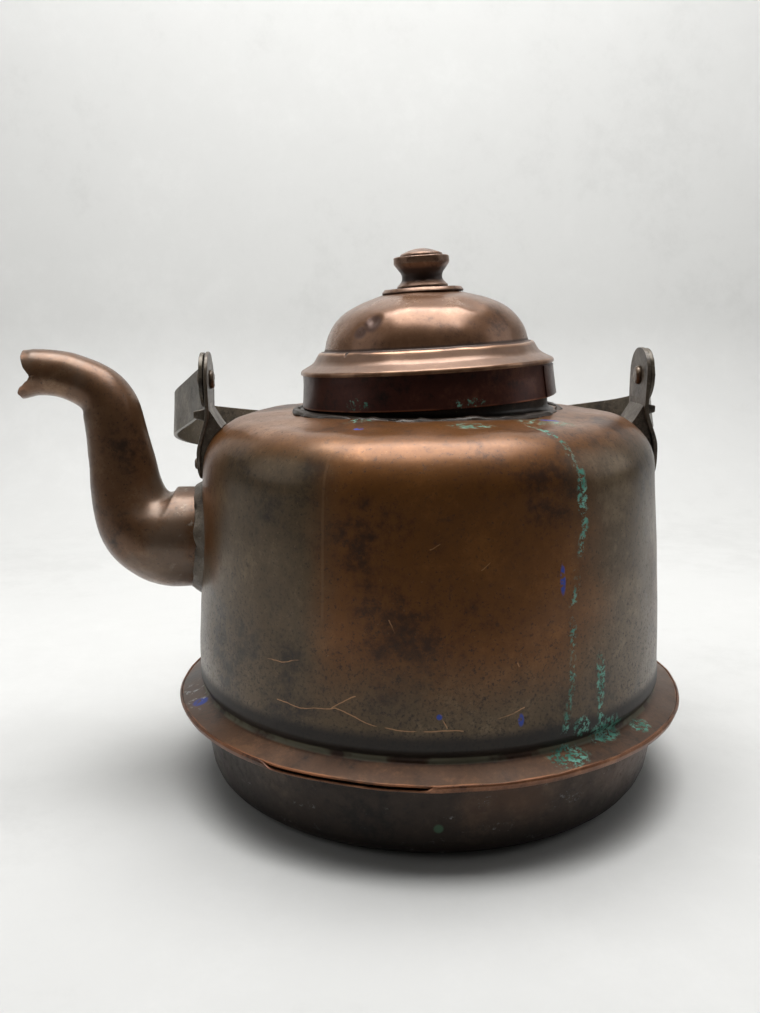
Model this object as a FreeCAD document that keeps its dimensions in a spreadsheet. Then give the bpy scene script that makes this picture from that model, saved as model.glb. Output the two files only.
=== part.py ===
import FreeCAD, Part
import math
import os
import Sketcher

# Stove kettle in sheet copper: a sunken pan, a tapering body with a round shoulder,
# a swan-neck spout, two riveted ears, a strap bail and a loose lid with a turned knob.
# Millimetres, +Z up. The origin is the middle of the flat face the kettle stands on.
# +X is the right ear, -X the spout, -Y the front.

doc = FreeCAD.newDocument("Kettle")
sheet = doc.addObject("Spreadsheet::Sheet", "Sizes")
layout = doc.addObject("Spreadsheet::Sheet", "Layout")

SIZES = {
    # sunken pan
    "pan_taper": 8.0,
    "pan_swell": 0.8,
    "pan_corner": 12.8,
    "pan_wall": 1.6,
    "pan_bend": 1.2,
    # brim that hangs the kettle in the stove ring
    "brim_reach": 12.0,
    "brim_top": 47.0,
    "brim_fall": 20.0,
    "hem_width": 1.4,
    "hem_rise": 0.5,
    "hem_start": 90.0,
    "hem_sweep": 322.0,
    # body
    "sheet_wall": 1.5,
    "groove_in": 3.7,
    "groove_bend": 2.4,
    "wall_foot_r": 128.0,
    "wall_foot_rise": 4.5,
    "wall_foot_bend": 5.4,
    "shoulder_in": 7.6,
    "shoulder_top": 195.4,
    "shoulder_bend": 27.0,
    "top_rise": 5.1,
    # neck collar under the lid
    "collar_r": 65.2,
    "collar_wall": 1.2,
    "collar_foot": 5.0,
    "collar_bend": 1.6,
    "bead_width": 3.4,
    "bead_rise": 1.7,
    "seat_gap": 0.4,
    # spout
    "spout_drop": 64.4,
    "spout_root_r": 27.6,
    "spout_run": 13.57,
    "spout_elbow_r": 27.0,
    "spout_lean": 8.0,
    "spout_rise": 45.0,
    "spout_bend_r": 22.0,
    "spout_bend_sweep": 50.0,
    "spout_nose_r": 50.0,
    "spout_nose_sweep": 35.0,
    "spout_lip": 10.6,
    "spout_mid_in": 7.4,
    "spout_neck_in": 4.6,
    "spout_mouth_in": 3.5,
    "spout_wall": 1.3,
    "solder_reach": 5.0,
    "solder_rise": 3.6,
    "solder_clear": 0.35,
    "fit_gap": 0.05,
    # ears and their rivets
    "ear_inset": 1.2,
    "ear_wall": 2.0,
    "ear_width": 30.0,
    "ear_foot_gap": 1.0,
    "ear_length": 59.0,
    "ear_bend_top": 17.0,
    "ear_bend_low": 38.0,
    "ear_bend_r": 36.0,
    "lug_reach": 8.0,
    "lug_wall": 3.2,
    "lug_root": 8.0,
    "lug_tip": 3.6,
    "lug_fall": 1.8,
    "lug_gap": 0.45,
    "fillet_width": 25.0,
    "fillet_reach": 4.6,
    "rivet_r": 2.2,
    "rivet_head_r": 3.3,
    "rivet_head": 1.7,
    "rivet_up": 9.25,
    "ear_spout_gap": 1.0,
    "rivet_pitch": 15.0,
    # pivots and bail
    "pivot_rise": 21.6,
    "pivot_r": 2.8,
    "pivot_fit": 0.06,
    "pivot_head_r": 5.3,
    "pivot_head": 2.0,
    "bail_gap": 0.6,
    "bail_wall": 2.2,
    "bail_width": 27.0,
    "bail_eye_r": 14.7,
    "bail_clear": 15.0,
    "bail_rise": 13.0,
    "bail_flare": 38.5,
    "bail_shoulder_in": 46.5,
    "bail_bend_r": 35.0,
    "bail_root_r": 20.0,
    "bail_top_in": 97.5,
    "bail_top_r": 200.0,
    "bail_rest": 109.0,
    # lid
    "lid_tilt": 2.86,
    "lid_shift": 1.0,
    "lid_sink": 0.8,
    "lid_wall": 1.1,
    "rim_overhang": 3.2,
    "band_height": 19.2,
    "lid_rim_drop": 2.0,
    "band_flare": 0.2,
    "band_foot_clear": 2.143,
    "band_wall": 1.1,
    "lap_wall": 0.6,
    "lap_start": 34.0,
    "lap_sweep": 20.0,
    "ogee_in": 7.4,
    "ogee_rise": 3.8,
    "ogee_bend": 7.0,
    "step_in": 3.2,
    "step_rise": 5.3,
    "step_bend": 2.2,
    "dome_foot_in": 3.0,
    "dome_foot_rise": 0.6,
    "crease_bend": 0.9,
    "dome_hip_in": 4.0,
    "dome_hip_rise": 15.7,
    "dome_hip_bend": 24.5,
    "crown_rise": 13.9,
    "crown_bend": 60.0,
    "vent_r": 1.0,
    "vent_in": 0.8,
    "vent_angle": 214.0,
    # knob
    "rosette_r": 20.4,
    "rosette_edge": 1.0,
    "rosette_foot": 0.4,
    "rosette_rise": 0.9,
    "knob_foot_in": 6.8,
    "knob_foot_rise": 1.2,
    "knob_waist_in": 2.8,
    "knob_waist_rise": 5.6,
    "knob_rim_out": 4.1,
    "knob_rim_low": 13.0,
    "knob_rim_high": 16.6,
    "cap_in": 3.1,
    "cap_rise": 4.0,
    "stem_r": 2.5,
    "stem_head_r": 4.6,
    "stem_head": 1.5,
    "stem_short": 1.4,
    "washer_r": 9.0,
    "washer_wall": 1.2,
}

row = 0
for alias, number in SIZES.items():
    row += 1
    sheet.set("A%d" % row, alias)
    sheet.set("B%d" % row, str(number))
    sheet.setAlias("B%d" % row, alias)
doc.recompute()


class Size:
    """A number together with the sheet expression it comes from."""

    def __init__(self, num, text=None):
        self.num = float(num)
        self.text = text if text is not None else repr(float(num))

    def mix(self, other, sign, result):
        return Size(result, "(%s %s %s)" % (self.text, sign, other.text))

    def __add__(self, other):
        other = lift(other)
        return self.mix(other, "+", self.num + other.num)

    def __sub__(self, other):
        other = lift(other)
        return self.mix(other, "-", self.num - other.num)

    def __mul__(self, other):
        other = lift(other)
        return self.mix(other, "*", self.num * other.num)

    def __truediv__(self, other):
        other = lift(other)
        return self.mix(other, "/", self.num / other.num)

    def __radd__(self, other):
        return lift(other) + self

    def __rsub__(self, other):
        return lift(other) - self

    def __rmul__(self, other):
        return lift(other) * self

    def __rtruediv__(self, other):
        return lift(other) / self

    def __neg__(self):
        return lift(0) - self


def lift(value):
    return value if isinstance(value, Size) else Size(value)


def val(alias):
    return Size(SIZES[alias], "Sizes." + alias)


def cosd(angle):
    angle = lift(angle)
    return Size(math.cos(math.radians(angle.num)), "cos(%s)" % angle.text)


def sind(angle):
    angle = lift(angle)
    return Size(math.sin(math.radians(angle.num)), "sin(%s)" % angle.text)


def tand(angle):
    return sind(angle) / cosd(angle)


def root(value):
    return Size(math.sqrt(value.num), "sqrt(%s)" % value.text)


layout_row = 0


def keep(value):
    """Store a worked-out length in the Layout sheet and refer to it by its cell."""
    global layout_row
    value = lift(value)
    if value.text.startswith(("Sizes.", "Layout.")) or value.text[0] in "-0123456789":
        return value
    layout_row += 1
    name = "place_%04d" % layout_row
    layout.set("A%d" % layout_row, "=" + value.text)
    layout.setAlias("A%d" % layout_row, name)
    return Size(value.num, "Layout." + name)


def bind(thing, prop, value):
    value = lift(value)
    thing.setExpression(prop, value.text)


def new_body(label):
    body = doc.addObject("PartDesign::Body", label)
    body.Label = label
    return body


def origin_part(body, role):
    for item in body.Origin.OriginFeatures:
        if item.Role == role:
            return item
    raise ValueError(role)


def new_sketch(body, role, name):
    sketch = body.newObject("Sketcher::SketchObject", name)
    sketch.AttachmentSupport = [(origin_part(body, role), "")]
    sketch.MapMode = "FlatFace"
    return sketch


def direction(a, b):
    dx = b[0] - a[0]
    dy = b[1] - a[1]
    length = keep(root(dx * dx + dy * dy))
    return keep(dx / length), keep(dy / length)


def rounded(points, bends, closed=False):
    """Corner points with bend radii, turned into a chain of (x, y, arc) stations.

    arc is None for a straight run to the next station, or (radius, turn sign).
    """
    count = len(points)
    chain = []
    for i in range(count):
        here = points[i]
        bend = bends[i]
        ends = not closed and i in (0, count - 1)
        if bend is None or ends:
            chain.append((keep(here[0]), keep(here[1]), None))
            continue
        before = direction(points[i - 1], here)
        after = direction(here, points[(i + 1) % count])
        cross = before[0] * after[1] - before[1] * after[0]
        dot = before[0] * after[0] + before[1] * after[1]
        turn = 1 if cross.num > 0 else -1
        reach = keep(bend * cross * turn / (dot + 1))
        chain.append((keep(here[0] - before[0] * reach), keep(here[1] - before[1] * reach),
                      (bend, turn)))
        chain.append((keep(here[0] + after[0] * reach), keep(here[1] + after[1] * reach), None))
    return chain


def reverse_chain(chain):
    result = []
    for i in range(len(chain) - 1, -1, -1):
        arc = chain[i - 1][2] if i > 0 else None
        if arc is not None:
            arc = (arc[0], -arc[1])
        result.append((chain[i][0], chain[i][1], arc))
    return result


def offset_points(points, bends, wall, side):
    """The same corners moved sideways by the wall; side is 1 for left, -1 for right."""
    count = len(points)
    moved = []
    for i in range(count):
        if i == 0 or i == count - 1:
            a = points[0] if i == 0 else points[-2]
            b = points[1] if i == 0 else points[-1]
            run = direction(a, b)
            shift = (-run[1] * wall * side, run[0] * wall * side)
        else:
            before = direction(points[i - 1], points[i])
            after = direction(points[i], points[i + 1])
            dot = before[0] * after[0] + before[1] * after[1] + 1
            shift = (-(before[1] + after[1]) * wall * side / dot,
                     (before[0] + after[0]) * wall * side / dot)
        moved.append((keep(points[i][0] + shift[0]), keep(points[i][1] + shift[1])))
    new_bends = []
    for i in range(count):
        bend = bends[i]
        if bend is not None and 0 < i < count - 1:
            ax = points[i][0].num - points[i - 1][0].num
            ay = points[i][1].num - points[i - 1][1].num
            bx = points[i + 1][0].num - points[i][0].num
            by = points[i + 1][1].num - points[i][1].num
            turn = 1 if ax * by - ay * bx > 0 else -1
            bend = keep(bend - wall * (turn * side))
        new_bends.append(bend)
    return moved, new_bends


def draw_loop(sketch, chain):
    """Draw a closed chain and pin every station to its expression."""
    first = sketch.GeometryCount
    count = len(chain)
    ends = []
    for i in range(count):
        a = chain[i]
        b = chain[(i + 1) % count]
        p = FreeCAD.Vector(a[0].num, a[1].num, 0)
        q = FreeCAD.Vector(b[0].num, b[1].num, 0)
        if a[2] is None:
            geo = sketch.addGeometry(Part.LineSegment(p, q), False)
            ends.append((geo, 1, 2))
            continue
        radius = lift(a[2][0])
        turn = a[2][1]
        half = (q - p).Length / 2
        run = (q - p).normalize()
        left = FreeCAD.Vector(-run.y, run.x, 0)
        rise = math.sqrt(max(radius.num ** 2 - half ** 2, 0))
        middle = (p + q) / 2 + left * rise * turn
        start = p if turn > 0 else q
        stop = q if turn > 0 else p
        a0 = math.atan2(start.y - middle.y, start.x - middle.x)
        a1 = math.atan2(stop.y - middle.y, stop.x - middle.x)
        if a1 <= a0:
            a1 += 2 * math.pi
        circle = Part.Circle(middle, FreeCAD.Vector(0, 0, 1), radius.num)
        geo = sketch.addGeometry(Part.ArcOfCircle(circle, a0, a1), False)
        ends.append((geo, 1, 2) if turn > 0 else (geo, 2, 1))
        index = sketch.addConstraint(Sketcher.Constraint("Radius", geo, radius.num))
        bind(sketch, "Constraints[%d]" % index, radius)
    for i in range(count):
        geo, begin, end = ends[i]
        other, begin_next, end_next = ends[(i + 1) % count]
        sketch.addConstraint(Sketcher.Constraint("Coincident", geo, end, other, begin_next))
        for kind, value in (("DistanceX", chain[i][0]), ("DistanceY", chain[i][1])):
            index = sketch.addConstraint(
                Sketcher.Constraint(kind, -1, 1, geo, begin, value.num))
            bind(sketch, "Constraints[%d]" % index, value)
    return first


def corner_loop(sketch, points, bends=None):
    points = [(lift(x), lift(y)) for x, y in points]
    bends = bends or [None] * len(points)
    return draw_loop(sketch, rounded(points, bends, closed=True))


def sheet_loop(sketch, points, bends, wall, side):
    """Closed outline of a bent sheet that follows the corner points."""
    points = [(lift(x), lift(y)) for x, y in points]
    outer = rounded(points, bends)
    moved, moved_bends = offset_points(points, bends, wall, side)
    inner = rounded(moved, moved_bends)
    return draw_loop(sketch, outer + reverse_chain(inner))


def circle(sketch, x, y, radius):
    x = lift(x)
    y = lift(y)
    radius = lift(radius)
    middle = FreeCAD.Vector(x.num, y.num, 0)
    shape = Part.Circle(middle, FreeCAD.Vector(0, 0, 1), radius.num)
    geo = sketch.addGeometry(shape, False)
    for kind, value in (("DistanceX", x), ("DistanceY", y)):
        index = sketch.addConstraint(Sketcher.Constraint(kind, -1, 1, geo, 3, value.num))
        bind(sketch, "Constraints[%d]" % index, value)
    index = sketch.addConstraint(Sketcher.Constraint("Radius", geo, radius.num))
    bind(sketch, "Constraints[%d]" % index, radius)
    return geo


def turned(body, sketch, name, kind="PartDesign::Revolution", angle=None):
    feature = body.newObject(kind, name)
    feature.Profile = sketch
    feature.ReferenceAxis = (sketch, ["V_Axis"])
    feature.Angle = 360
    if angle is not None:
        bind(feature, "Angle", angle)
    sketch.Visibility = False
    return feature


def pad(body, sketch, name, length, midplane=True):
    feature = body.newObject("PartDesign::Pad", name)
    feature.Profile = sketch
    feature.Midplane = midplane
    bind(feature, "Length", length)
    return feature


def pocket(body, sketch, name, length, midplane=False, back=False):
    feature = body.newObject("PartDesign::Pocket", name)
    feature.Profile = sketch
    feature.Midplane = midplane
    feature.Reversed = back
    bind(feature, "Length", length)
    return feature


def must_cut(body, feature, name):
    """A pocket must take material away: turn it round if it took none."""
    doc.recompute()
    before = feature.BaseFeature.Shape.Volume
    if before - feature.Shape.Volume < 1e-3:
        feature.Reversed = not feature.Reversed
        doc.recompute()
    if before - feature.Shape.Volume < 1e-3:
        raise ValueError("nothing cut: " + name)


parts = {}

# ---------------------------------------------------------------- sizes that follow others
# A piece that seats on, lines up with or clears another takes its size from that piece.
shoulder_r = keep(val("wall_foot_r") - val("shoulder_in"))
groove_r = keep(val("wall_foot_r") - val("groove_in"))
brim_r = keep(val("wall_foot_r") + val("brim_reach"))
pan_top_r = keep(val("wall_foot_r") + val("pan_swell"))
pan_foot_r = keep(pan_top_r - val("pan_taper"))
spout_z = keep(val("shoulder_top") - val("spout_drop"))
spout_mid_r = keep(val("spout_root_r") - val("spout_mid_in"))
spout_neck_r = keep(spout_mid_r - val("spout_neck_in"))
spout_mouth_r = keep(spout_neck_r - val("spout_mouth_in"))
ear_x = keep(shoulder_r - val("ear_inset"))
pivot_z = keep(val("shoulder_top") + val("pivot_rise"))
# the left ear stops just above the spout's solder, and both ears are riveted at one height
ear_low_left = keep(spout_z + val("spout_root_r") + val("fit_gap") + val("solder_rise")
                    + val("ear_spout_gap"))
rivet_z = keep(ear_low_left + val("rivet_up"))
lid_z = keep(val("shoulder_top") + val("top_rise") - val("lid_sink"))
lid_rim_r = keep(val("collar_r") + val("rim_overhang"))
band_foot_z = keep(val("collar_r") * tand(val("lid_tilt")) + val("band_foot_clear"))
lid_rim_z = keep(band_foot_z + val("band_height"))
band_foot_r = keep(lid_rim_r + val("band_flare"))
ogee_r = keep(lid_rim_r - val("ogee_in"))
ogee_z = keep(lid_rim_z + val("ogee_rise"))
step_r = keep(ogee_r - val("step_in"))
step_z = keep(ogee_z + val("step_rise"))
dome_foot_r = keep(step_r - val("dome_foot_in"))
dome_foot_z = keep(step_z + val("dome_foot_rise"))
dome_hip_r = keep(dome_foot_r - val("dome_hip_in"))
dome_hip_z = keep(dome_foot_z + val("dome_hip_rise"))
crown_z = keep(dome_hip_z + val("crown_rise"))
crown_corner_r = keep(dome_hip_r * 0.433)
vent_at = keep(step_r - val("vent_in"))
rosette_edge_r = keep(val("rosette_r") + val("rosette_edge"))
rosette_foot_r = keep(rosette_edge_r + val("rosette_foot"))
knob_foot_r = keep(val("rosette_r") - val("knob_foot_in"))
knob_waist_r = keep(knob_foot_r - val("knob_waist_in"))
knob_rim_r = keep(knob_waist_r + val("knob_rim_out"))
cap_r = keep(knob_rim_r - val("cap_in"))

# ---------------------------------------------------------------- shared places
fall = val("brim_fall")
sheet_wall = val("sheet_wall")
pan_wall = val("pan_wall")
body_brim_r = keep(brim_r - val("hem_width"))
brim_top = val("brim_top")
slope = keep(tand(fall))
groove_z = keep(brim_top + (body_brim_r - groove_r) * slope)
foot_z = keep(groove_z + val("wall_foot_rise"))
lean = keep((val("wall_foot_r") - shoulder_r) / (val("shoulder_top") - foot_z))
top_z = keep(val("shoulder_top") + val("top_rise"))
top_slope = keep(val("top_rise") / (shoulder_r - val("collar_r")))
neck_r = keep(val("collar_r") - val("collar_wall"))
neck_z = keep(val("shoulder_top") + (shoulder_r - neck_r) * top_slope)

body_points = [
    (body_brim_r, brim_top),
    (groove_r, groove_z),
    (val("wall_foot_r"), foot_z),
    (shoulder_r, val("shoulder_top")),
    (neck_r, neck_z),
]
body_bends = [None, val("groove_bend"), val("wall_foot_bend"), val("shoulder_bend"), None]


def body_core(body, name):
    """Groove that clears everything inside the outer face of the body wall."""
    sketch = new_sketch(body, "XZ_Plane", name + "_outline")
    low = (lift(val("wall_foot_r")), foot_z)
    points = [(lift(0), foot_z), low, (shoulder_r, val("shoulder_top")),
              (lift(0), keep(val("shoulder_top") + shoulder_r * top_slope))]
    corner_loop(sketch, points, [None, None, val("shoulder_bend"), None])
    return turned(body, sketch, name, "PartDesign::Groove")


# ---------------------------------------------------------------- bottom pan
body = new_body("bottom_pan")
sketch = new_sketch(body, "XZ_Plane", "pan_outline")
under = keep(sheet_wall + pan_wall)
edge_x = keep(brim_r - sind(fall) * under)
edge_z = keep(brim_top - (brim_r - body_brim_r) * slope - cosd(fall) * under)
pan_top_z = keep(edge_z + (edge_x - pan_top_r) * slope)
pan_points = [
    (edge_x, edge_z),
    (pan_top_r, pan_top_z),
    (pan_foot_r, lift(0)),
    (lift(0), lift(0)),
]
sheet_loop(sketch, pan_points, [None, val("pan_bend"), val("pan_corner"), None], pan_wall, -1)
turned(body, sketch, "pan_turned")
# hem: the pan edge turned up beside the body brim, open over one stretch at the front left
sketch = new_sketch(body, "XZ_Plane", "hem_outline")
sketch.AttachmentOffset = FreeCAD.Placement(
    FreeCAD.Vector(0, 0, 0), FreeCAD.Rotation(FreeCAD.Vector(0, -1, 0), SIZES["hem_start"]))
bind(sketch, "AttachmentOffset.Rotation.Angle", val("hem_start"))
hem_in = keep(body_brim_r + val("fit_gap"))
hem_base_in = keep(brim_top - (hem_in - body_brim_r) * slope - sheet_wall / cosd(fall) - 0.4)
hem_base_out = keep(brim_top - (brim_r - body_brim_r) * slope - sheet_wall / cosd(fall) - 0.4)
corner_loop(sketch, [
    (hem_in, hem_base_in),
    (keep(brim_r - 0.3), hem_base_out),
    (brim_r, keep(brim_top - 0.4)),
    (keep(brim_r - val("hem_width") / 2), keep(brim_top + val("hem_rise"))),
    (hem_in, keep(brim_top + 0.1)),
])
turned(body, sketch, "hem_turned", angle=val("hem_sweep"))
parts["bottom_pan"] = body

# ---------------------------------------------------------------- body shell
body = new_body("body_shell")
sketch = new_sketch(body, "XZ_Plane", "body_outline")
sheet_loop(sketch, body_points, body_bends, sheet_wall, 1)
turned(body, sketch, "body_turned")
sketch = new_sketch(body, "YZ_Plane", "spout_hole")
circle(sketch, 0, spout_z, keep(val("spout_root_r") - val("spout_wall")))
feature = pocket(body, sketch, "spout_bore", brim_r, back=False)
doc.recompute()
probe = Part.makeCylinder(2.0, brim_r.num, FreeCAD.Vector(0, 0, spout_z.num),
                          FreeCAD.Vector(-1, 0, 0))
if feature.Shape.common(probe).Volume > 1e-3:
    feature.Reversed = True
    doc.recompute()
# rivet holes through the wall behind each ear
sketch = new_sketch(body, "YZ_Plane", "rivet_holes")
for side in (-1, 1):
    circle(sketch, keep(val("rivet_pitch") * side / 2), rivet_z, val("rivet_r"))
pocket(body, sketch, "rivet_bores", keep(brim_r * 2), midplane=True)
parts["body_shell"] = body

# ---------------------------------------------------------------- lid frame
tilt = val("lid_tilt")
lid_place = FreeCAD.Placement(
    FreeCAD.Vector(SIZES["lid_shift"], 0, lid_z.num),
    FreeCAD.Rotation(FreeCAD.Vector(0, -1, 0), SIZES["lid_tilt"]))


def sit_on_lid(body):
    body.Placement = lid_place
    bind(body, "Placement.Base.x", val("lid_shift"))
    bind(body, "Placement.Base.z", lid_z)
    bind(body, "Placement.Rotation.Angle", tilt)


lid_wall = val("lid_wall")
dome_points = [
    (lift(0), crown_z),
    (crown_corner_r, crown_z),
    (dome_hip_r, dome_hip_z),
    (dome_foot_r, dome_foot_z),
    (step_r, step_z),
    (ogee_r, ogee_z),
    (lid_rim_r, lid_rim_z),
    (lid_rim_r, keep(lid_rim_z - val("lid_rim_drop"))),
]
dome_bends = [None, val("crown_bend"), val("dome_hip_bend"), val("crease_bend"),
              val("step_bend"), val("ogee_bend"), keep(lid_wall + 0.5), None]
body = new_body("lid_dome")
sketch = new_sketch(body, "XZ_Plane", "dome_outline")
sheet_loop(sketch, dome_points, dome_bends, lid_wall, -1)
turned(body, sketch, "dome_turned")
# hole for the knob stem
sketch = new_sketch(body, "XY_Plane", "stem_hole")
circle(sketch, 0, 0, keep(val("stem_r") + val("fit_gap")))
feature = pocket(body, sketch, "stem_bore", keep(crown_z + 10))
must_cut(body, feature, "stem_bore")
# steam vent through the ogee
sketch = new_sketch(body, "XY_Plane", "vent_hole")
circle(sketch, keep(vent_at * cosd(val("vent_angle"))),
       keep(vent_at * sind(val("vent_angle"))), val("vent_r"))
feature = pocket(body, sketch, "vent_bore", keep(crown_z + 10))
must_cut(body, feature, "vent_bore")
sit_on_lid(body)
parts["lid_dome"] = body

# ---------------------------------------------------------------- lid band
body = new_body("lid_band")
sketch = new_sketch(body, "XZ_Plane", "band_outline")
band_top_r = keep(lid_rim_r - lid_wall)
band_top_z = keep(lid_rim_z - lid_wall - 0.6)
band_points = [
    (band_top_r, band_top_z),
    (band_top_r, keep(band_top_z - 5)),
    (band_foot_r, band_foot_z),
]
sheet_loop(sketch, band_points, [None, lift(40), None], val("band_wall"), -1)
turned(body, sketch, "band_turned")
# lap where the ends of the strip overlap
sketch = new_sketch(body, "XZ_Plane", "lap_outline")
sketch.AttachmentOffset = FreeCAD.Placement(
    FreeCAD.Vector(0, 0, 0), FreeCAD.Rotation(FreeCAD.Vector(0, -1, 0), SIZES["lap_start"]))
bind(sketch, "AttachmentOffset.Rotation.Angle", val("lap_start"))
lap_low = keep(band_foot_z + 0.6)
lap_high = keep(lid_rim_z - val("lid_rim_drop") - 0.6)
lap_in = keep(band_top_r - val("band_wall") / 2)
corner_loop(sketch, [
    (lap_in, lap_low),
    (keep(band_foot_r + val("lap_wall")), lap_low),
    (keep(band_top_r + val("lap_wall") + 0.2), lap_high),
    (lap_in, lap_high),
])
turned(body, sketch, "lap_turned", angle=val("lap_sweep"))
sit_on_lid(body)
parts["lid_band"] = body

# ---------------------------------------------------------------- knob on the lid
crown_run = keep(dome_hip_r - crown_corner_r)
crown_drop = keep(crown_z - dome_hip_z)
crown_side = keep(root(crown_run * crown_run + crown_drop * crown_drop))
crown_middle = keep(crown_corner_r
                    - val("crown_bend") * crown_drop / (crown_side + crown_run))


def crown_at(radius):
    """Height of the outer face of the crown at a radius from the lid axis."""
    bend = val("crown_bend")
    past = keep(radius - crown_middle)
    away = keep((past + root(past * past)) / 2)
    return keep(crown_z - bend + root(bend * bend - away * away))


stem_hole = keep(val("stem_r") + val("fit_gap"))
rosette_top = keep(crown_z + val("rosette_rise"))
body = new_body("knob_rosette")
sketch = new_sketch(body, "XZ_Plane", "rosette_outline")
foot_edge = keep(crown_at(rosette_foot_r) + val("fit_gap"))
draw_loop(sketch, [
    (stem_hole, keep(crown_at(stem_hole) + val("fit_gap")), None),
    (stem_hole, rosette_top, None),
    (val("rosette_r"), rosette_top, None),
    (rosette_edge_r, keep(foot_edge + (rosette_top - foot_edge) * 0.5), None),
    (rosette_foot_r, keep(foot_edge + (rosette_top - foot_edge) * 0.2), None),
    (rosette_foot_r, foot_edge, (val("crown_bend"), 1)),
    (crown_middle, keep(crown_z + val("fit_gap")), None),
])
turned(body, sketch, "rosette_turned")
sit_on_lid(body)
parts["knob_rosette"] = body

body = new_body("knob_body")
sketch = new_sketch(body, "XZ_Plane", "knob_outline")
rim_high = keep(rosette_top + val("knob_rim_high"))
rim_low = keep(rosette_top + val("knob_rim_low"))
corner_loop(sketch, [
    (stem_hole, rosette_top),
    (knob_foot_r, rosette_top),
    (knob_foot_r, keep(rosette_top + val("knob_foot_rise"))),
    (knob_waist_r, keep(rosette_top + val("knob_waist_rise") - 1.6)),
    (knob_waist_r, keep(rosette_top + val("knob_waist_rise") + 1.6)),
    (knob_rim_r, rim_low),
    (knob_rim_r, rim_high),
    (stem_hole, rim_high),
], [None, None, lift(0.6), lift(3.0), lift(4.4), lift(1.6), lift(0.8), None])
turned(body, sketch, "knob_turned")
sit_on_lid(body)
parts["knob_body"] = body

body = new_body("knob_cap")
sketch = new_sketch(body, "XZ_Plane", "cap_outline")
cap_top = keep(rim_high + val("cap_rise"))
cap_bend = keep((cap_r * cap_r + val("cap_rise") * val("cap_rise"))
                / (val("cap_rise") * 2))
draw_loop(sketch, [
    (lift(0), rim_high, None),
    (cap_r, rim_high, (cap_bend, 1)),
    (lift(0), cap_top, None),
])
turned(body, sketch, "cap_turned")
sit_on_lid(body)
parts["knob_cap"] = body

washer_top = keep(crown_at(val("washer_r")) - lid_wall - 0.02)
washer_low = keep(washer_top - val("washer_wall"))
body = new_body("knob_stem")
stem_top = keep(rim_high - val("stem_short"))
sketch = new_sketch(body, "XZ_Plane", "stem_outline")
corner_loop(sketch, [
    (0, keep(washer_low - val("stem_head"))),
    (keep(val("stem_head_r") - 1.4), keep(washer_low - val("stem_head"))),
    (val("stem_head_r"), washer_low),
    (val("stem_r"), washer_low),
    (val("stem_r"), stem_top),
    (0, stem_top),
])
turned(body, sketch, "stem_turned")
sit_on_lid(body)
parts["knob_stem"] = body

body = new_body("knob_washer")
sketch = new_sketch(body, "XZ_Plane", "washer_outline")
corner_loop(sketch, [
    (stem_hole, washer_low),
    (val("washer_r"), washer_low),
    (val("washer_r"), washer_top),
    (stem_hole, washer_top),
])
turned(body, sketch, "washer_turned")
sit_on_lid(body)
parts["knob_washer"] = body

# ---------------------------------------------------------------- neck collar
# The collar's mouth is bruised down on the spout side, so it is cut on the lid's slope.
seat_r = val("collar_r")
rim_run = keep((lid_rim_z - ogee_z) / (lid_rim_r - ogee_r))
seat_lid_z = keep(ogee_z + (seat_r - ogee_r) * rim_run
                  - lid_wall * 1.25 - val("seat_gap"))
seat_mid = keep(lid_z + seat_lid_z * cosd(tilt))
seat_tan = keep(tand(tilt))
body = new_body("neck_collar")
sketch = new_sketch(body, "XZ_Plane", "collar_outline")
collar_high = keep(seat_mid + seat_r * seat_tan + 4)
collar_edge_r = keep(val("collar_r") + val("collar_foot"))
collar_edge_z = keep(val("shoulder_top") + (shoulder_r - collar_edge_r) * top_slope)
collar_turn_z = keep(val("shoulder_top") + (shoulder_r - neck_r) * top_slope)
sheet_loop(sketch, [
    (collar_edge_r, collar_edge_z),
    (neck_r, collar_turn_z),
    (neck_r, collar_high),
], [None, keep(val("collar_bend") + val("collar_wall")), None], val("collar_wall"), -1)
turned(body, sketch, "collar_turned")
sketch = new_sketch(body, "XZ_Plane", "mouth_cut")
reach = keep(seat_r + 20)
corner_loop(sketch, [
    (-reach, keep(seat_mid - reach * seat_tan)),
    (reach, keep(seat_mid + reach * seat_tan)),
    (reach, keep(collar_high + 10)),
    (-reach, keep(collar_high + 10)),
])
pocket(body, sketch, "mouth_trim", keep(reach * 2), midplane=True)
parts["neck_collar"] = body

# solder bead round the collar's foot
body = new_body("collar_solder")
sketch = new_sketch(body, "XZ_Plane", "bead_outline")
bead_in = keep(collar_edge_r + val("fit_gap"))
bead_out = keep(bead_in + val("bead_width"))
bead_in_z = keep(val("shoulder_top") + (shoulder_r - bead_in) * top_slope)
bead_out_z = keep(val("shoulder_top") + (shoulder_r - bead_out) * top_slope)
corner_loop(sketch, [
    (bead_in, bead_in_z),
    (bead_out, bead_out_z),
    (keep(bead_out - 0.8), keep(bead_out_z + val("bead_rise") * 0.7)),
    (keep(bead_in + 0.2), keep(bead_in_z + val("bead_rise"))),
], [None, None, lift(0.9), lift(0.5)])
turned(body, sketch, "bead_turned")
parts["collar_solder"] = body

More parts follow.
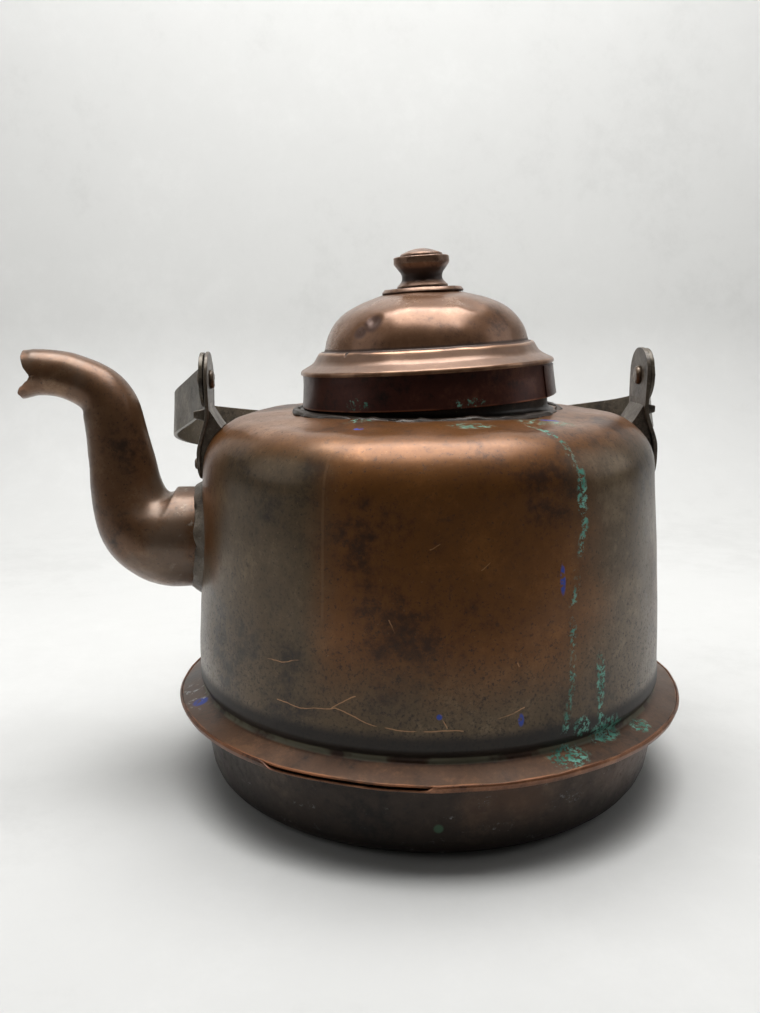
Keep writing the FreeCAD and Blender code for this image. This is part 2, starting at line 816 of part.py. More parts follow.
# ---------------------------------------------------------------- spout
# Stations along the swan neck: place, heading and radius. Heading 90 points out level,
# 0 points straight up.
elbow_r = val("spout_elbow_r")
lean_up = val("spout_lean")
stations = []
wall_x = keep(val("wall_foot_r") - (spout_z - foot_z) * lean)
root_in = keep(wall_x - 14)
stations.append((root_in, spout_z, lift(90), val("spout_root_r")))
stations.append((keep(wall_x + 2), spout_z, lift(90), val("spout_root_r")))
elbow_turn = keep(90 - lean_up)
for share, blend in ((0.1, 1.0), (0.35, 0.86), (0.62, 0.52), (1.0, 0.0)):
    angle = keep(elbow_turn * share)
    radius = keep(spout_mid_r + (val("spout_root_r") + 0.4 - spout_mid_r) * blend)
    stations.append((keep(wall_x + val("spout_run") + elbow_r * sind(angle)),
                     keep(spout_z + elbow_r * (1 - cosd(angle))),
                     keep(90 - angle), radius))
low_x = keep(wall_x + val("spout_run") + elbow_r * cosd(lean_up))
low_z = keep(spout_z + elbow_r * (1 - sind(lean_up)))
for share in (0.5, 1.0):
    radius = keep(spout_mid_r * (1 - share) + spout_neck_r * share
                  - (0.6 if share == 0.5 else 0))
    stations.append((keep(low_x + val("spout_rise") * share * sind(lean_up)),
                     keep(low_z + val("spout_rise") * share * cosd(lean_up)),
                     lean_up, radius))
high_x = keep(low_x + val("spout_rise") * sind(lean_up))
high_z = keep(low_z + val("spout_rise") * cosd(lean_up))
bend_r = val("spout_bend_r")
for share in (0.5, 1.0):
    angle = keep(lean_up + val("spout_bend_sweep") * share)
    radius = keep(spout_neck_r - (spout_neck_r - spout_mouth_r) * share * 0.75)
    stations.append((keep(high_x + bend_r * (cosd(lean_up) - cosd(angle))),
                     keep(high_z + bend_r * (sind(angle) - sind(lean_up))), angle, radius))
turn_x = stations[-1][0]
turn_z = stations[-1][1]
turn_a = keep(lean_up + val("spout_bend_sweep"))
nose_r = val("spout_nose_r")
for share in (0.5, 1.0):
    angle = keep(turn_a + val("spout_nose_sweep") * share)
    radius = keep(spout_mouth_r + 0.3 * (1 - share))
    stations.append((keep(turn_x + nose_r * (cosd(turn_a) - cosd(angle))),
                     keep(turn_z + nose_r * (sind(angle) - sind(turn_a))), angle, radius))
end_a = stations[-1][2]
stations.append((keep(stations[-1][0] + val("spout_lip") * sind(end_a)),
                 keep(stations[-1][1] + val("spout_lip") * cosd(end_a)),
                 end_a, spout_mouth_r))
mouth_x = stations[-1][0]
mouth_z = stations[-1][1]

body = new_body("spout")
rings = []
for i, (x, z, heading, radius) in enumerate(stations):
    ring = new_sketch(body, "XY_Plane", "ring_%d" % i)
    ring.AttachmentOffset = FreeCAD.Placement(
        FreeCAD.Vector(-x.num, 0, z.num),
        FreeCAD.Rotation(FreeCAD.Vector(0, -1, 0), heading.num))
    bind(ring, "AttachmentOffset.Base.x", -x)
    bind(ring, "AttachmentOffset.Base.z", z)
    bind(ring, "AttachmentOffset.Rotation.Angle", heading)
    circle(ring, 0, 0, radius)
    circle(ring, 0, 0, keep(radius - val("spout_wall")))
    rings.append(ring)
loft = body.newObject("PartDesign::AdditiveLoft", "swan_neck")
loft.Profile = rings[0]
loft.Sections = rings[1:]
loft.Ruled = False
# the root is trimmed to the wall it is soldered to
body_core(body, "root_trim")
# beak: the mouth is notched from both sides, with a longer lower lip
sketch = new_sketch(body, "XZ_Plane", "beak_cut")
far = keep(-(mouth_x + 20))
corner_loop(sketch, [
    (keep(-(mouth_x - 10.6)), keep(mouth_z - 0.6)),
    (keep(-(mouth_x - 7.6)), keep(mouth_z + 3.7)),
    (keep(-(mouth_x - 6.0)), keep(mouth_z + 9.1)),
    (keep(-(mouth_x - 6.2)), keep(mouth_z + 16)),
    (far, keep(mouth_z + 16)),
    (far, keep(mouth_z - 16)),
    (keep(-(mouth_x - 2.4)), keep(mouth_z - 16)),
    (keep(-(mouth_x - 3.1)), keep(mouth_z - 10.3)),
    (keep(-(mouth_x - 2.2)), keep(mouth_z - 8.8)),
    (keep(-(mouth_x - 4.0)), keep(mouth_z - 6.1)),
    (keep(-(mouth_x - 8.9)), keep(mouth_z - 3.1)),
])
pocket(body, sketch, "beak_trim", keep(spout_mouth_r * 4), midplane=True)
parts["spout"] = body

# solder round the root of the spout
body = new_body("spout_solder")
sketch = new_sketch(body, "XY_Plane", "solder_outline")
inner = keep(val("spout_root_r") + val("solder_clear"))
bottom_x = keep(wall_x - 16)
solder_out = keep(val("spout_root_r") + val("fit_gap") + val("solder_rise"))
corner_loop(sketch, [
    (keep(-bottom_x), inner),
    (keep(-(wall_x + val("solder_reach"))), inner),
    (keep(-(wall_x + val("solder_reach"))), keep(inner + 0.8)),
    (keep(-(wall_x + 0.4)), solder_out),
    (keep(-bottom_x), solder_out),
], [None, None, None, lift(6), None])
feature = body.newObject("PartDesign::Revolution", "solder_turned")
feature.Profile = sketch
feature.ReferenceAxis = (sketch, ["H_Axis"])
feature.Angle = 360
sketch.AttachmentOffset = FreeCAD.Placement(
    FreeCAD.Vector(0, 0, spout_z.num), FreeCAD.Rotation())
bind(sketch, "AttachmentOffset.Base.z", spout_z)
body_core(body, "solder_trim")
parts["spout_solder"] = body

# ---------------------------------------------------------------- ears
ear_half = keep(val("ear_width") / 2)
ear_top = keep(pivot_z + ear_half)
ear_low_right = keep(pivot_z - val("ear_length"))
ear_wall = val("ear_wall")
rivet_wall_x = keep(val("wall_foot_r") - (rivet_z - foot_z) * lean)
ear_foot_x = keep(rivet_wall_x + val("ear_foot_gap") + ear_wall)
bend_top_z = keep(pivot_z - val("ear_bend_top"))
bend_low_z = keep(pivot_z - val("ear_bend_low"))


def ear_points(sign, ear_low):
    return [
        (ear_x * sign, ear_top + 1),
        (ear_x * sign, bend_top_z),
        (ear_foot_x * sign, bend_low_z),
        (ear_foot_x * sign, ear_low - 1),
    ]


def sided(sign, value):
    return keep(lift(value) * sign)


for side_name, sign, ear_low in (("left", -1, ear_low_left), ("right", 1, ear_low_right)):
    body = new_body("ear_" + side_name)
    sketch = new_sketch(body, "XZ_Plane", "ear_side_" + side_name)
    points = [(keep(x), keep(z)) for x, z in ear_points(sign, ear_low)]
    sheet_loop(sketch, points, [None, val("ear_bend_r"), val("ear_bend_r"), None],
               ear_wall, -sign)
    pad(body, sketch, "ear_strap_" + side_name, keep(val("ear_width") + 4))
    # round both ends and bring the strap to its width
    sketch = new_sketch(body, "YZ_Plane", "ear_face_" + side_name)
    out = keep(ear_half + 6)
    corner_loop(sketch, [
        (-out, keep(ear_low - 8)),
        (out, keep(ear_low - 8)),
        (out, keep(ear_top + 8)),
        (-out, keep(ear_top + 8)),
    ])
    corner_loop(sketch, [
        (-ear_half, ear_low),
        (ear_half, ear_low),
        (ear_half, ear_top),
        (-ear_half, ear_top),
    ], [keep(ear_half * 0.96), keep(ear_half * 0.96), keep(ear_half * 0.985),
        keep(ear_half * 0.985)])
    pocket(body, sketch, "ear_round_" + side_name, keep(brim_r * 2), midplane=True)
    # stop lug bent out of the strap below the pivot
    sketch = new_sketch(body, "XZ_Plane", "lug_side_" + side_name)
    lug_top = keep(pivot_z - val("bail_eye_r") - val("lug_gap"))
    lug_in = sided(sign, ear_x - ear_wall / 2)
    lug_out = sided(sign, ear_x + val("lug_reach"))
    corner_loop(sketch, [
        (lug_in, lug_top),
        (lug_out, keep(lug_top - val("lug_fall"))),
        (lug_out, keep(lug_top - val("lug_fall") - val("lug_tip"))),
        (lug_in, keep(lug_top - val("lug_root"))),
    ])
    pad(body, sketch, "lug_" + side_name, val("lug_wall"))
    # pivot hole and rivet holes
    sketch = new_sketch(body, "YZ_Plane", "ear_holes_" + side_name)
    circle(sketch, 0, pivot_z, val("pivot_r"))
    for across in (-1, 1):
        circle(sketch, keep(val("rivet_pitch") * across / 2), rivet_z, val("rivet_r"))
    pocket(body, sketch, "ear_bores_" + side_name, keep(brim_r * 2), midplane=True)
    parts["ear_" + side_name] = body

    # solder between the strap and the shoulder
    body = new_body("ear_solder_" + side_name)
    sketch = new_sketch(body, "XZ_Plane", "wedge_side_" + side_name)
    inner_x = keep(ear_x - ear_wall - val("fit_gap") * 3)
    foot_x = keep(ear_foot_x - ear_wall - val("fit_gap") * 3)
    corner_loop(sketch, [
        (sided(sign, inner_x), keep(bend_top_z + 1.5)),
        (sided(sign, inner_x), bend_top_z),
        (sided(sign, foot_x), bend_low_z),
        (sided(sign, foot_x), keep(ear_low + 4)),
        (sided(sign, foot_x - 8), keep(ear_low + 4)),
        (sided(sign, inner_x - val("fillet_reach") - 6), keep(bend_top_z - 14)),
        (sided(sign, inner_x - val("fillet_reach")), keep(bend_top_z - 6)),
    ], [None, keep(val("ear_bend_r") + ear_wall), keep(val("ear_bend_r") - ear_wall),
        None, None, None, lift(6)])
    pad(body, sketch, "wedge_" + side_name, val("fillet_width"))
    body_core(body, "wedge_trim_" + side_name)
    sketch = new_sketch(body, "YZ_Plane", "wedge_holes_" + side_name)
    for across in (-1, 1):
        circle(sketch, keep(val("rivet_pitch") * across / 2), rivet_z, val("rivet_r"))
    pocket(body, sketch, "wedge_bores_" + side_name, keep(brim_r * 2), midplane=True)
    parts["ear_solder_" + side_name] = body

# ---------------------------------------------------------------- ear rivets
# One rivet is turned about its own axis, then repeated across the ear and to the far ear.
body = new_body("ear_rivets")
body.AllowCompound = True
sketch = new_sketch(body, "XY_Plane", "rivet_outline")
sketch.AttachmentOffset = FreeCAD.Placement(
    FreeCAD.Vector(0, -SIZES["rivet_pitch"] / 2, rivet_z.num), FreeCAD.Rotation())
bind(sketch, "AttachmentOffset.Base.y", -val("rivet_pitch") / 2)
bind(sketch, "AttachmentOffset.Base.z", rivet_z)
head_at = ear_foot_x
tail_at = keep(rivet_wall_x - sheet_wall - 1.2)
corner_loop(sketch, [
    (tail_at, 0),
    (keep(head_at + val("rivet_head")), 0),
    (keep(head_at + val("rivet_head")), keep(val("rivet_head_r") * 0.55)),
    (head_at, val("rivet_head_r")),
    (head_at, val("rivet_r")),
    (tail_at, val("rivet_r")),
], [None, None, lift(1.0), None, None, None])
feature = body.newObject("PartDesign::Revolution", "rivet_turned")
feature.Profile = sketch
feature.ReferenceAxis = (sketch, ["H_Axis"])
feature.Angle = 360
doc.recompute()
row_of = body.newObject("PartDesign::LinearPattern", "rivet_row")
row_of.Originals = [feature]
row_of.Direction = (origin_part(body, "Y_Axis"), [""])
row_of.Occurrences = 2
bind(row_of, "Length", val("rivet_pitch"))
body.Tip = row_of
doc.recompute()
mirror = body.newObject("PartDesign::Mirrored", "rivet_pair")
mirror.TransformMode = "Whole shape"
mirror.MirrorPlane = (origin_part(body, "YZ_Plane"), [""])
body.Tip = mirror
parts["ear_rivets"] = body

# ---------------------------------------------------------------- pivot rivets
body = new_body("pivot_rivets")
body.AllowCompound = True
sketch = new_sketch(body, "XY_Plane", "pivot_outline")
sketch.AttachmentOffset = FreeCAD.Placement(
    FreeCAD.Vector(0, 0, pivot_z.num), FreeCAD.Rotation())
bind(sketch, "AttachmentOffset.Base.z", pivot_z)
head_in = keep(ear_x - ear_wall)
bail_in = keep(ear_x + val("bail_gap"))
bail_out = keep(bail_in + val("bail_wall"))
head_out = keep(bail_out + 0.3)
corner_loop(sketch, [
    (keep(head_in - val("pivot_head")), 0),
    (keep(head_out + val("pivot_head")), 0),
    (keep(head_out + val("pivot_head")), keep(val("pivot_head_r") * 0.6)),
    (head_out, val("pivot_head_r")),
    (head_out, val("pivot_r")),
    (head_in, val("pivot_r")),
    (head_in, val("pivot_head_r")),
    (keep(head_in - val("pivot_head")), keep(val("pivot_head_r") * 0.6)),
], [None, None, lift(1.2), None, None, None, None, lift(1.2)])
feature = body.newObject("PartDesign::Revolution", "pivot_turned")
feature.Profile = sketch
feature.ReferenceAxis = (sketch, ["H_Axis"])
feature.Angle = 360
doc.recompute()
mirror = body.newObject("PartDesign::Mirrored", "pivot_pair")
mirror.Originals = [feature]
mirror.MirrorPlane = (origin_part(body, "YZ_Plane"), [""])
body.Tip = mirror
parts["pivot_rivets"] = body

# ---------------------------------------------------------------- bail
# Drawn upright about its own pivot line, then laid back onto the stop lugs.
body = new_body("bail_handle")
sketch = new_sketch(body, "XZ_Plane", "bail_outline")
bail_half = keep(bail_out + val("bail_flare"))
bail_reach = keep(val("wall_foot_r") + val("bail_clear"))
bail_shoulder = keep(bail_reach - val("bail_shoulder_in"))
bail_top_half = keep(bail_half - val("bail_top_in"))
half = [
    (bail_out, keep(-val("bail_eye_r") - 2)),
    (bail_out, val("bail_rise")),
    (bail_half, bail_shoulder),
    (bail_top_half, bail_reach),
]
points = [(lift(x), lift(z)) for x, z in half]
points = points + [(keep(-x), z) for x, z in reversed(points)]
bends = [None, val("bail_root_r"), val("bail_bend_r"), val("bail_top_r")]
bends = bends + list(reversed(bends))
sheet_loop(sketch, points, bends, val("bail_wall"), 1)
pad(body, sketch, "bail_strap", keep(val("bail_eye_r") * 2 + 2))
sketch = new_sketch(body, "YZ_Plane", "bail_face")
eye = val("bail_eye_r")
strap = keep(val("bail_width") / 2)
meet = keep(root(eye * eye - strap * strap))
high = keep(bail_reach + 10)
corner_loop(sketch, [
    (keep(-eye - 4), keep(-eye - 5)),
    (keep(eye + 4), keep(-eye - 5)),
    (keep(eye + 4), keep(high + 4)),
    (keep(-eye - 4), keep(high + 4)),
])
draw_loop(sketch, [
    (lift(0), keep(-eye), (eye, 1)),
    (strap, meet, None),
    (strap, high, None),
    (keep(-strap), high, None),
    (keep(-strap), meet, (eye, 1)),
])
pocket(body, sketch, "bail_trim", keep(bail_half * 3), midplane=True)
sketch = new_sketch(body, "YZ_Plane", "bail_eyes")
circle(sketch, 0, 0, keep(val("pivot_r") + val("pivot_fit")))
pocket(body, sketch, "bail_bores", keep(bail_half * 3), midplane=True)
body.Placement = FreeCAD.Placement(
    FreeCAD.Vector(0, 0, pivot_z.num),
    FreeCAD.Rotation(FreeCAD.Vector(-1, 0, 0), SIZES["bail_rest"]))
bind(body, "Placement.Base.z", pivot_z)
bind(body, "Placement.Rotation.Angle", val("bail_rest"))
parts["bail_handle"] = body

# ---------------------------------------------------------------- recompute, check, write
doc.recompute()
for thing in doc.Objects:
    for state in thing.State:
        if state in ("Invalid", "Error"):
            raise ValueError("%s is %s" % (thing.Label, state))
for node, thing in parts.items():
    shape = thing.Shape
    if shape.isNull() or not shape.isValid():
        raise ValueError("bad shape: " + node)
    if shape.Volume <= 0:
        raise ValueError("no volume: " + node)

os.makedirs("parts", exist_ok=True)
for node, thing in parts.items():
    thing.Shape.exportStep("parts/%s.step" % node)
    box = thing.Shape.BoundBox
    print("%-18s %10.0f mm3  x %7.1f %7.1f  y %7.1f %7.1f  z %6.1f %6.1f" % (
        node, thing.Shape.Volume, box.XMin, box.XMax, box.YMin, box.YMax, box.ZMin, box.ZMax))
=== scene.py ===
# %% [markdown]
# # A copper stove kettle
# The kettle is raised from thin copper sheet: a pan for the stove hole, a body with a folded
# brim, a swan-neck spout, a stepped lid with a turned knob, and a strap bail on two ears.
# The CAD model fixes every size and joint. Blender adds the dents, rolled edges and patina.
# We start by loading the CAD model, because every new piece goes where the CAD says.

# %% Load the frame
import math

import bmesh
import bpy
from mathutils import Matrix, Vector, noise


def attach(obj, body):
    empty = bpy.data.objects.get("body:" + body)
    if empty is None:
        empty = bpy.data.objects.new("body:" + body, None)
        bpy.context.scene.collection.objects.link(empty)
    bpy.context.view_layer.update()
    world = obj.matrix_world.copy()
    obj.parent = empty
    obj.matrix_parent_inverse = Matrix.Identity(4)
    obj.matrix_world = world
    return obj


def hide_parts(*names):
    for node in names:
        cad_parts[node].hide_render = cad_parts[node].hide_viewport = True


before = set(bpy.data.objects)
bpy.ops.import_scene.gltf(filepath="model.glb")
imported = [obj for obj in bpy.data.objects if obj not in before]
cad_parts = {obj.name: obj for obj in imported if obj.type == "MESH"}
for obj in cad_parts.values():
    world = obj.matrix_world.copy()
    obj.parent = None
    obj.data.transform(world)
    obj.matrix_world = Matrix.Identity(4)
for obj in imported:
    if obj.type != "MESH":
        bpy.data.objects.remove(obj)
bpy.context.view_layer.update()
MM = 0.001

# %% [markdown]
# ## Camera
# A camera is an object whose data holds the lens. Its sensor is 36 mm on the long side, so
# the lens length alone sets how much it sees. It stands a little above the spout's height
# and looks slightly down, which opens the brim and the top of the body into thin ellipses.

# %% Camera
lens = bpy.data.cameras.new("camera")
lens.lens = 34.19
lens.sensor_width = 36.0
lens.clip_start = 0.01
camera = bpy.data.objects.new("camera", lens)
camera.location = (-0.05263, -0.52730, 0.24606)
camera.rotation_euler = [math.radians(a) for a in (79.225, 0.488, -2.966)]
bpy.context.scene.collection.objects.link(camera)
bpy.context.scene.camera = camera
bpy.context.scene.view_settings.view_transform = "Standard"
print("camera looks", camera.rotation_euler.to_matrix() @ Vector((0, 0, -1)))

# %% [markdown]
# ## Bent sheet from a few corners
# A tinsmith marks only the corners of a profile and bends the sheet over a stake. We do the
# same: a chain of corner points, and a vertex bevel that rounds each one. The bevel slides
# along both edges by radius times the tangent of half the turn, which gives a true fillet.

# %% Profile wire
def wire(corners, grain, steps=6, closed=False):
    """Chain of (across, up, bend radius) corners in millimetres, standing in the XZ plane."""
    bm = bmesh.new()
    verts = [bm.verts.new((c[0] * MM, 0, c[1] * MM)) for c in corners]
    pairs = list(zip(verts, verts[1:]))
    if closed:
        pairs.append((verts[-1], verts[0]))
    for a, b in pairs:
        bm.edges.new((a, b))
    spots = [v.co.copy() for v in verts]
    for i, corner in enumerate(corners):
        if len(corner) < 3 or not corner[2]:
            continue
        before = spots[i] - spots[i - 1]
        after = spots[(i + 1) % len(spots)] - spots[i]
        slide = corner[2] * MM * math.tan(before.angle(after) / 2)
        bmesh.ops.bevel(bm, geom=[verts[i]], offset=slide, offset_type="OFFSET",
                        segments=steps, profile=0.5, affect="VERTICES", material=-1)
    for edge in bm.edges[:]:
        cuts = int(edge.calc_length() / (grain * MM))
        if cuts:
            bmesh.ops.subdivide_edges(bm, edges=[edge], cuts=cuts)
    return bm


def outward(bm):
    """Point the faces away from the middle line."""
    bmesh.ops.remove_doubles(bm, verts=bm.verts, dist=1e-6)
    bmesh.ops.recalc_face_normals(bm, faces=bm.faces)
    far = max(bm.faces, key=lambda f: f.calc_center_median().xy.length)
    middle = far.calc_center_median()
    if far.normal.dot(Vector((middle.x, middle.y, 0))) < 0:
        bmesh.ops.reverse_faces(bm, faces=bm.faces)


def spun(bm, steps, sweep=360.0):
    """Turn a profile about the Z axis."""
    full = sweep >= 360
    bmesh.ops.spin(bm, geom=bm.verts[:] + bm.edges[:], cent=(0, 0, 0), axis=(0, 0, 1),
                   angle=math.radians(sweep), steps=steps, use_merge=full)
    outward(bm)
    return bm


test = spun(wire([(10, 0), (10, 10, 3), (0, 10)], 2), 24)
print("test cup faces", len(test.faces))
test.free()

# %% [markdown]
# ## Hand-worked sheet is never quite round
# Hammering and years on a stove leave soft dents. Instead of painting them in a bump map we
# move the vertices along their normals by smooth noise, so the outline wavers as well.
# The noise is a fixed function of place, so it gives the same dents every time.

# %% Dents
def dented(bm, amount, size, seed, where=None):
    """Push vertices in and out by up to amount millimetres, in waves of that size."""
    bm.normal_update()
    shift = Vector((seed * 7.31, seed * 3.17, seed * 5.77))
    moves = []
    for v in bm.verts:
        share = 1.0 if where is None else where(v.co)
        if share:
            wave = noise.noise(v.co / (size * MM) + shift)
            moves.append((v, v.normal * (wave * amount * MM * share)))
    for v, move in moves:
        v.co += move


def knocked(bm, spot, depth, reach):
    """One dent at a spot, in millimetres."""
    bm.normal_update()
    spot = Vector(spot) * MM
    for v in bm.verts:
        away = (v.co - spot).length / (reach * MM)
        if away < 1:
            v.co -= v.normal * (depth * MM * (1 - away * away) ** 2)


def smooth(value, low, high):
    share = min(max((value - low) / (high - low), 0.0), 1.0)
    return share * share * (3 - 2 * share)


def azimuth(co):
    return math.degrees(math.atan2(co.y, co.x))


print("wave at the origin", round(noise.noise(Vector((0.3, 0.2, 0.1))), 4))

# %% [markdown]
# ## Finishing a piece
# A piece keeps its place in its mesh and its object at the origin. Solidify gives the sheet
# its thickness on the inner side. Bevel softens the cut edges, and hardened normals keep the
# flat faces flat beside it. The piece is parented to its body's empty, the CAD nodes it stands
# for are hidden, and its slot names the finish it will get.

# %% Piece maker
finish_wanted = {}


def piece(bm, name, body, slot, stands_for=(), wall=0.0, edge=0.0, finish=""):
    mesh = bpy.data.meshes.new(name)
    bm.to_mesh(mesh)
    bm.free()
    for face in mesh.polygons:
        face.use_smooth = True
    obj = bpy.data.objects.new(name, mesh)
    bpy.context.scene.collection.objects.link(obj)
    if wall:
        sheet = obj.modifiers.new("sheet thickness", "SOLIDIFY")
        sheet.thickness = wall * MM
        sheet.offset = -1.0
    if edge:
        worn = obj.modifiers.new("worn edge", "BEVEL")
        worn.width = edge * MM
        worn.segments = 2
        worn.limit_method = "ANGLE"
        worn.angle_limit = math.radians(38)
        worn.harden_normals = True
    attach(obj, body)
    if stands_for:
        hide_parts(*stands_for)
    finish_wanted[name] = finish or slot
    print(name, len(mesh.polygons), "faces")
    return obj


# %% [markdown]
# ## Body
# The wall leans in a little towards the shoulder, turns over it, and runs nearly flat to the
# neck. At the foot it is creased inwards to a groove and then flares out as the brim.
# Everything below is one spun profile, dented afterwards: a few tenths on the wall, more on
# the thin top round the neck, and a slow waver of the brim.

# %% Body
BRIM_SLOPE = math.tan(math.radians(20))
TOP_SLOPE = 5.1 / 55.2


def top_at(r):
    """Height of the body's top at a radius, in millimetres."""
    return 195.4 + (120.4 - r) * TOP_SLOPE


def brim_wave(co):
    """The brim's slow up-and-down, in millimetres."""
    turn = Vector((co.x, co.y, 0)).normalized() * 2.3
    return 0.9 * noise.noise(turn + Vector((4.1, 2.2, 0.7))) + 0.35 * noise.noise(turn * 4)


bm = wire([(138.6, 47.0), (124.3, 52.2, 2.4), (128.0, 56.7, 5.4), (120.4, 195.4, 27),
           (64.0, top_at(64.0))], 3.4, steps=8)
spun(bm, 260)
dented(bm, 1.1, 70, 1, lambda co: smooth(co.z, 0.056, 0.08))
dented(bm, 0.30, 22, 2, lambda co: smooth(co.z, 0.056, 0.07))
dented(bm, 2.2, 26, 3, lambda co: smooth(co.z, 0.192, 0.199) * smooth(co.xy.length, 0.066, 0.075)
       * (1 - smooth(co.xy.length, 0.09, 0.112)))
for v in bm.verts:
    v.co.z += brim_wave(v.co) * MM * smooth(v.co.xy.length, 0.127, 0.138) * (v.co.z < 0.054)
piece(bm, "body_sheet", "kettle", "body_copper", ["body_shell"], wall=1.5, edge=0.35)

# %% [markdown]
# ## Bottom pan
# The pan drops into the stove hole. Its top edge is flared under the brim and turned up
# round it as a hem, except for one stretch at the front left where the hem has opened.
# The profile is a closed outline this time, because the hem is thicker than the sheet.

# %% Bottom pan
bm = wire([(0, 0), (120.8, 0, 12.8), (128.8, 47.3, 1.4), (138.9, 43.6, 0.7),
           (140.0, 46.5, 0.5), (139.3, 47.6, 0.45), (138.6, 47.2), (138.4, 45.4), (127.5, 49.4),
           (119.2, 1.6, 11.2), (0, 1.6)], 4.5, steps=5)
spun(bm, 260)
for v in bm.verts:
    turn = azimuth(v.co)
    opened = smooth(turn, -129.5, -127.0) * (1 - smooth(turn, -96.0, -94.0))
    reach = v.co.xy.length
    if reach > 0.1382 and v.co.z > 0.0445:
        v.co.z += (0.0446 - v.co.z) * opened
        v.co.xy *= 1 - 0.006 * opened
    v.co.z += brim_wave(v.co) * MM * smooth(reach, 0.127, 0.138) * (v.co.z > 0.04)
dented(bm, 1.2, 60, 5, lambda co: smooth(co.z, 0.003, 0.012) * (1 - smooth(co.z, 0.034, 0.043)))
dented(bm, 0.35, 16, 6, lambda co: smooth(co.z, 0.003, 0.012) * (1 - smooth(co.z, 0.034, 0.043)))
piece(bm, "pan_sheet", "kettle", "pan_copper", ["bottom_pan"])

# %% [markdown]
# ## Neck
# The collar stands in the body's mouth with a small foot flange, and a bead of solder seals
# it. Its upper edge is cut on the slope that the lid sits at: `bisect_plane` with
# `clear_outer` trims it in one step.

# %% Neck collar and its solder
LID_TILT = math.radians(2.86)
bm = wire([(70.2, top_at(70.2) + 0.2), (65.2, top_at(65.2) + 1.2, 2.6), (65.2, 232)], 4, steps=5)
spun(bm, 160)
bmesh.ops.bisect_plane(bm, geom=bm.verts[:] + bm.edges[:] + bm.faces[:],
                       plane_co=(0, 0, 0.2241),
                       plane_no=(-math.sin(LID_TILT), 0, math.cos(LID_TILT)), clear_outer=True)
piece(bm, "collar_sheet", "kettle", "collar_copper", ["neck_collar"], wall=1.2, edge=0.3)

bm = wire([(69.6, top_at(70) - 0.6), (70.2, top_at(70) + 1.5, 0.7), (72.6, top_at(73) + 1.2, 0.9),
           (74.0, top_at(74) - 0.8)], 1.2, steps=4, closed=True)
spun(bm, 220)
dented(bm, 1.5, 9, 8)
dented(bm, 0.6, 3.5, 9)
piece(bm, "collar_bead", "kettle", "solder", ["collar_solder"], finish="collar_copper")

# %% [markdown]
# ## Spout
# A swan neck is a tube whose heading and width both change along its length. We place
# circles at stations along the middle line, and `bridge_loops` joins each to the next.
# Extra stations come from a Catmull-Rom curve, which passes through every given one.

# %% Spout tube
STATIONS = [(118.0, 131.0, 90, 27.6), (125.9, 131.0, 90, 27.6), (141.4, 131.3, 81.8, 28.0),
            (150.5, 134.3, 61.3, 26.9), (158.4, 140.9, 39.2, 24.3), (164.2, 154.2, 8, 20.2),
            (167.4, 176.5, 8, 17.3), (170.5, 198.8, 8, 15.6), (173.8, 207.7, 33, 14.3),
            (180.6, 214.4, 58, 13.0), (194.6, 220.4, 75.5, 12.2), (209.7, 221.9, 93, 12.1),
            (220.3, 221.3, 93, 12.1)]


def between(a, b, c, d, t):
    """Catmull-Rom value from b to c."""
    return 0.5 * (2 * b + (c - a) * t + (2 * a - 5 * b + 4 * c - d) * t * t
                  + (3 * b - a - 3 * c + d) * t ** 3)


def filled(rows, steps):
    rows = [rows[0]] + rows + [rows[-1]]
    out = []
    for i in range(1, len(rows) - 2):
        for k in range(steps):
            out.append([between(*(rows[i + j][n] for j in (-1, 0, 1, 2)), k / steps)
                        for n in range(len(rows[0]))])
    return out + [list(rows[-1])]


def ring(bm, x, z, heading, radius, count=72):
    """A circle square to the spout's run; heading 90 is level, 0 is straight up."""
    turn = Matrix.Rotation(math.radians(-heading), 4, "Y")
    spot = Matrix.Translation((-x * MM, 0, z * MM)) @ turn
    made = bmesh.ops.create_circle(bm, segments=count, radius=radius * MM, matrix=spot)
    return list({e for v in made["verts"] for e in v.link_edges})


bm = bmesh.new()
last = None
for row in filled(STATIONS, 6):
    edges = ring(bm, *row)
    if last:
        bmesh.ops.bridge_loops(bm, edges=last + edges)
    last = edges
outward(bm)
folds = [v for v in bm.verts if (-0.160 < v.co.x < -0.126 and v.co.z > 0.146 and v.co.z < 0.17)
         or (-0.204 < v.co.x < -0.178 and 0.190 < v.co.z < 0.2125)]
for _ in range(12):
    bmesh.ops.smooth_vert(bm, verts=folds, factor=0.5, use_axis_x=True, use_axis_y=True,
                          use_axis_z=True)
print("spout rings", len(filled(STATIONS, 6)))

# %% [markdown]
# The mouth is torn open like a beak. The end ring is drawn back by an amount that depends
# on height, and the rings behind it follow less and less, so the tube stays smooth.

# %% Spout mouth
BEAK = [(-16, 2.4), (-10.3, 3.1), (-8.8, 2.2), (-6.1, 4.0), (-3.1, 8.9), (-0.6, 10.6), (3.7, 7.6),
        (9.1, 6.0), (16, 6.2)]


def drawn_back(height):
    for (z0, x0), (z1, x1) in zip(BEAK, BEAK[1:]):
        if z0 <= height <= z1:
            return x0 + (x1 - x0) * (height - z0) / (z1 - z0)
    return BEAK[-1][1]


for v in bm.verts:
    share = smooth(-v.co.x, 0.2063, 0.2204)
    if share:
        v.co.x += share * MM * drawn_back(v.co.z / MM - 221.2)
        v.co.z -= 0.9 * MM * share * (v.co.z < 0.2165)
dented(bm, 0.8, 34, 12, lambda co: smooth(-co.x, 0.128, 0.15))
dented(bm, 0.35, 11, 13, lambda co: smooth(-co.x, 0.128, 0.15))
piece(bm, "spout_tube", "kettle", "spout_copper", ["spout"], wall=1.3, edge=0.25)

# %% [markdown]
# The spout is sweated to the wall with solder. The fillet is a profile spun about Z, then
# turned to lie along X, and bent back at the sides, because the wall behind it is round.

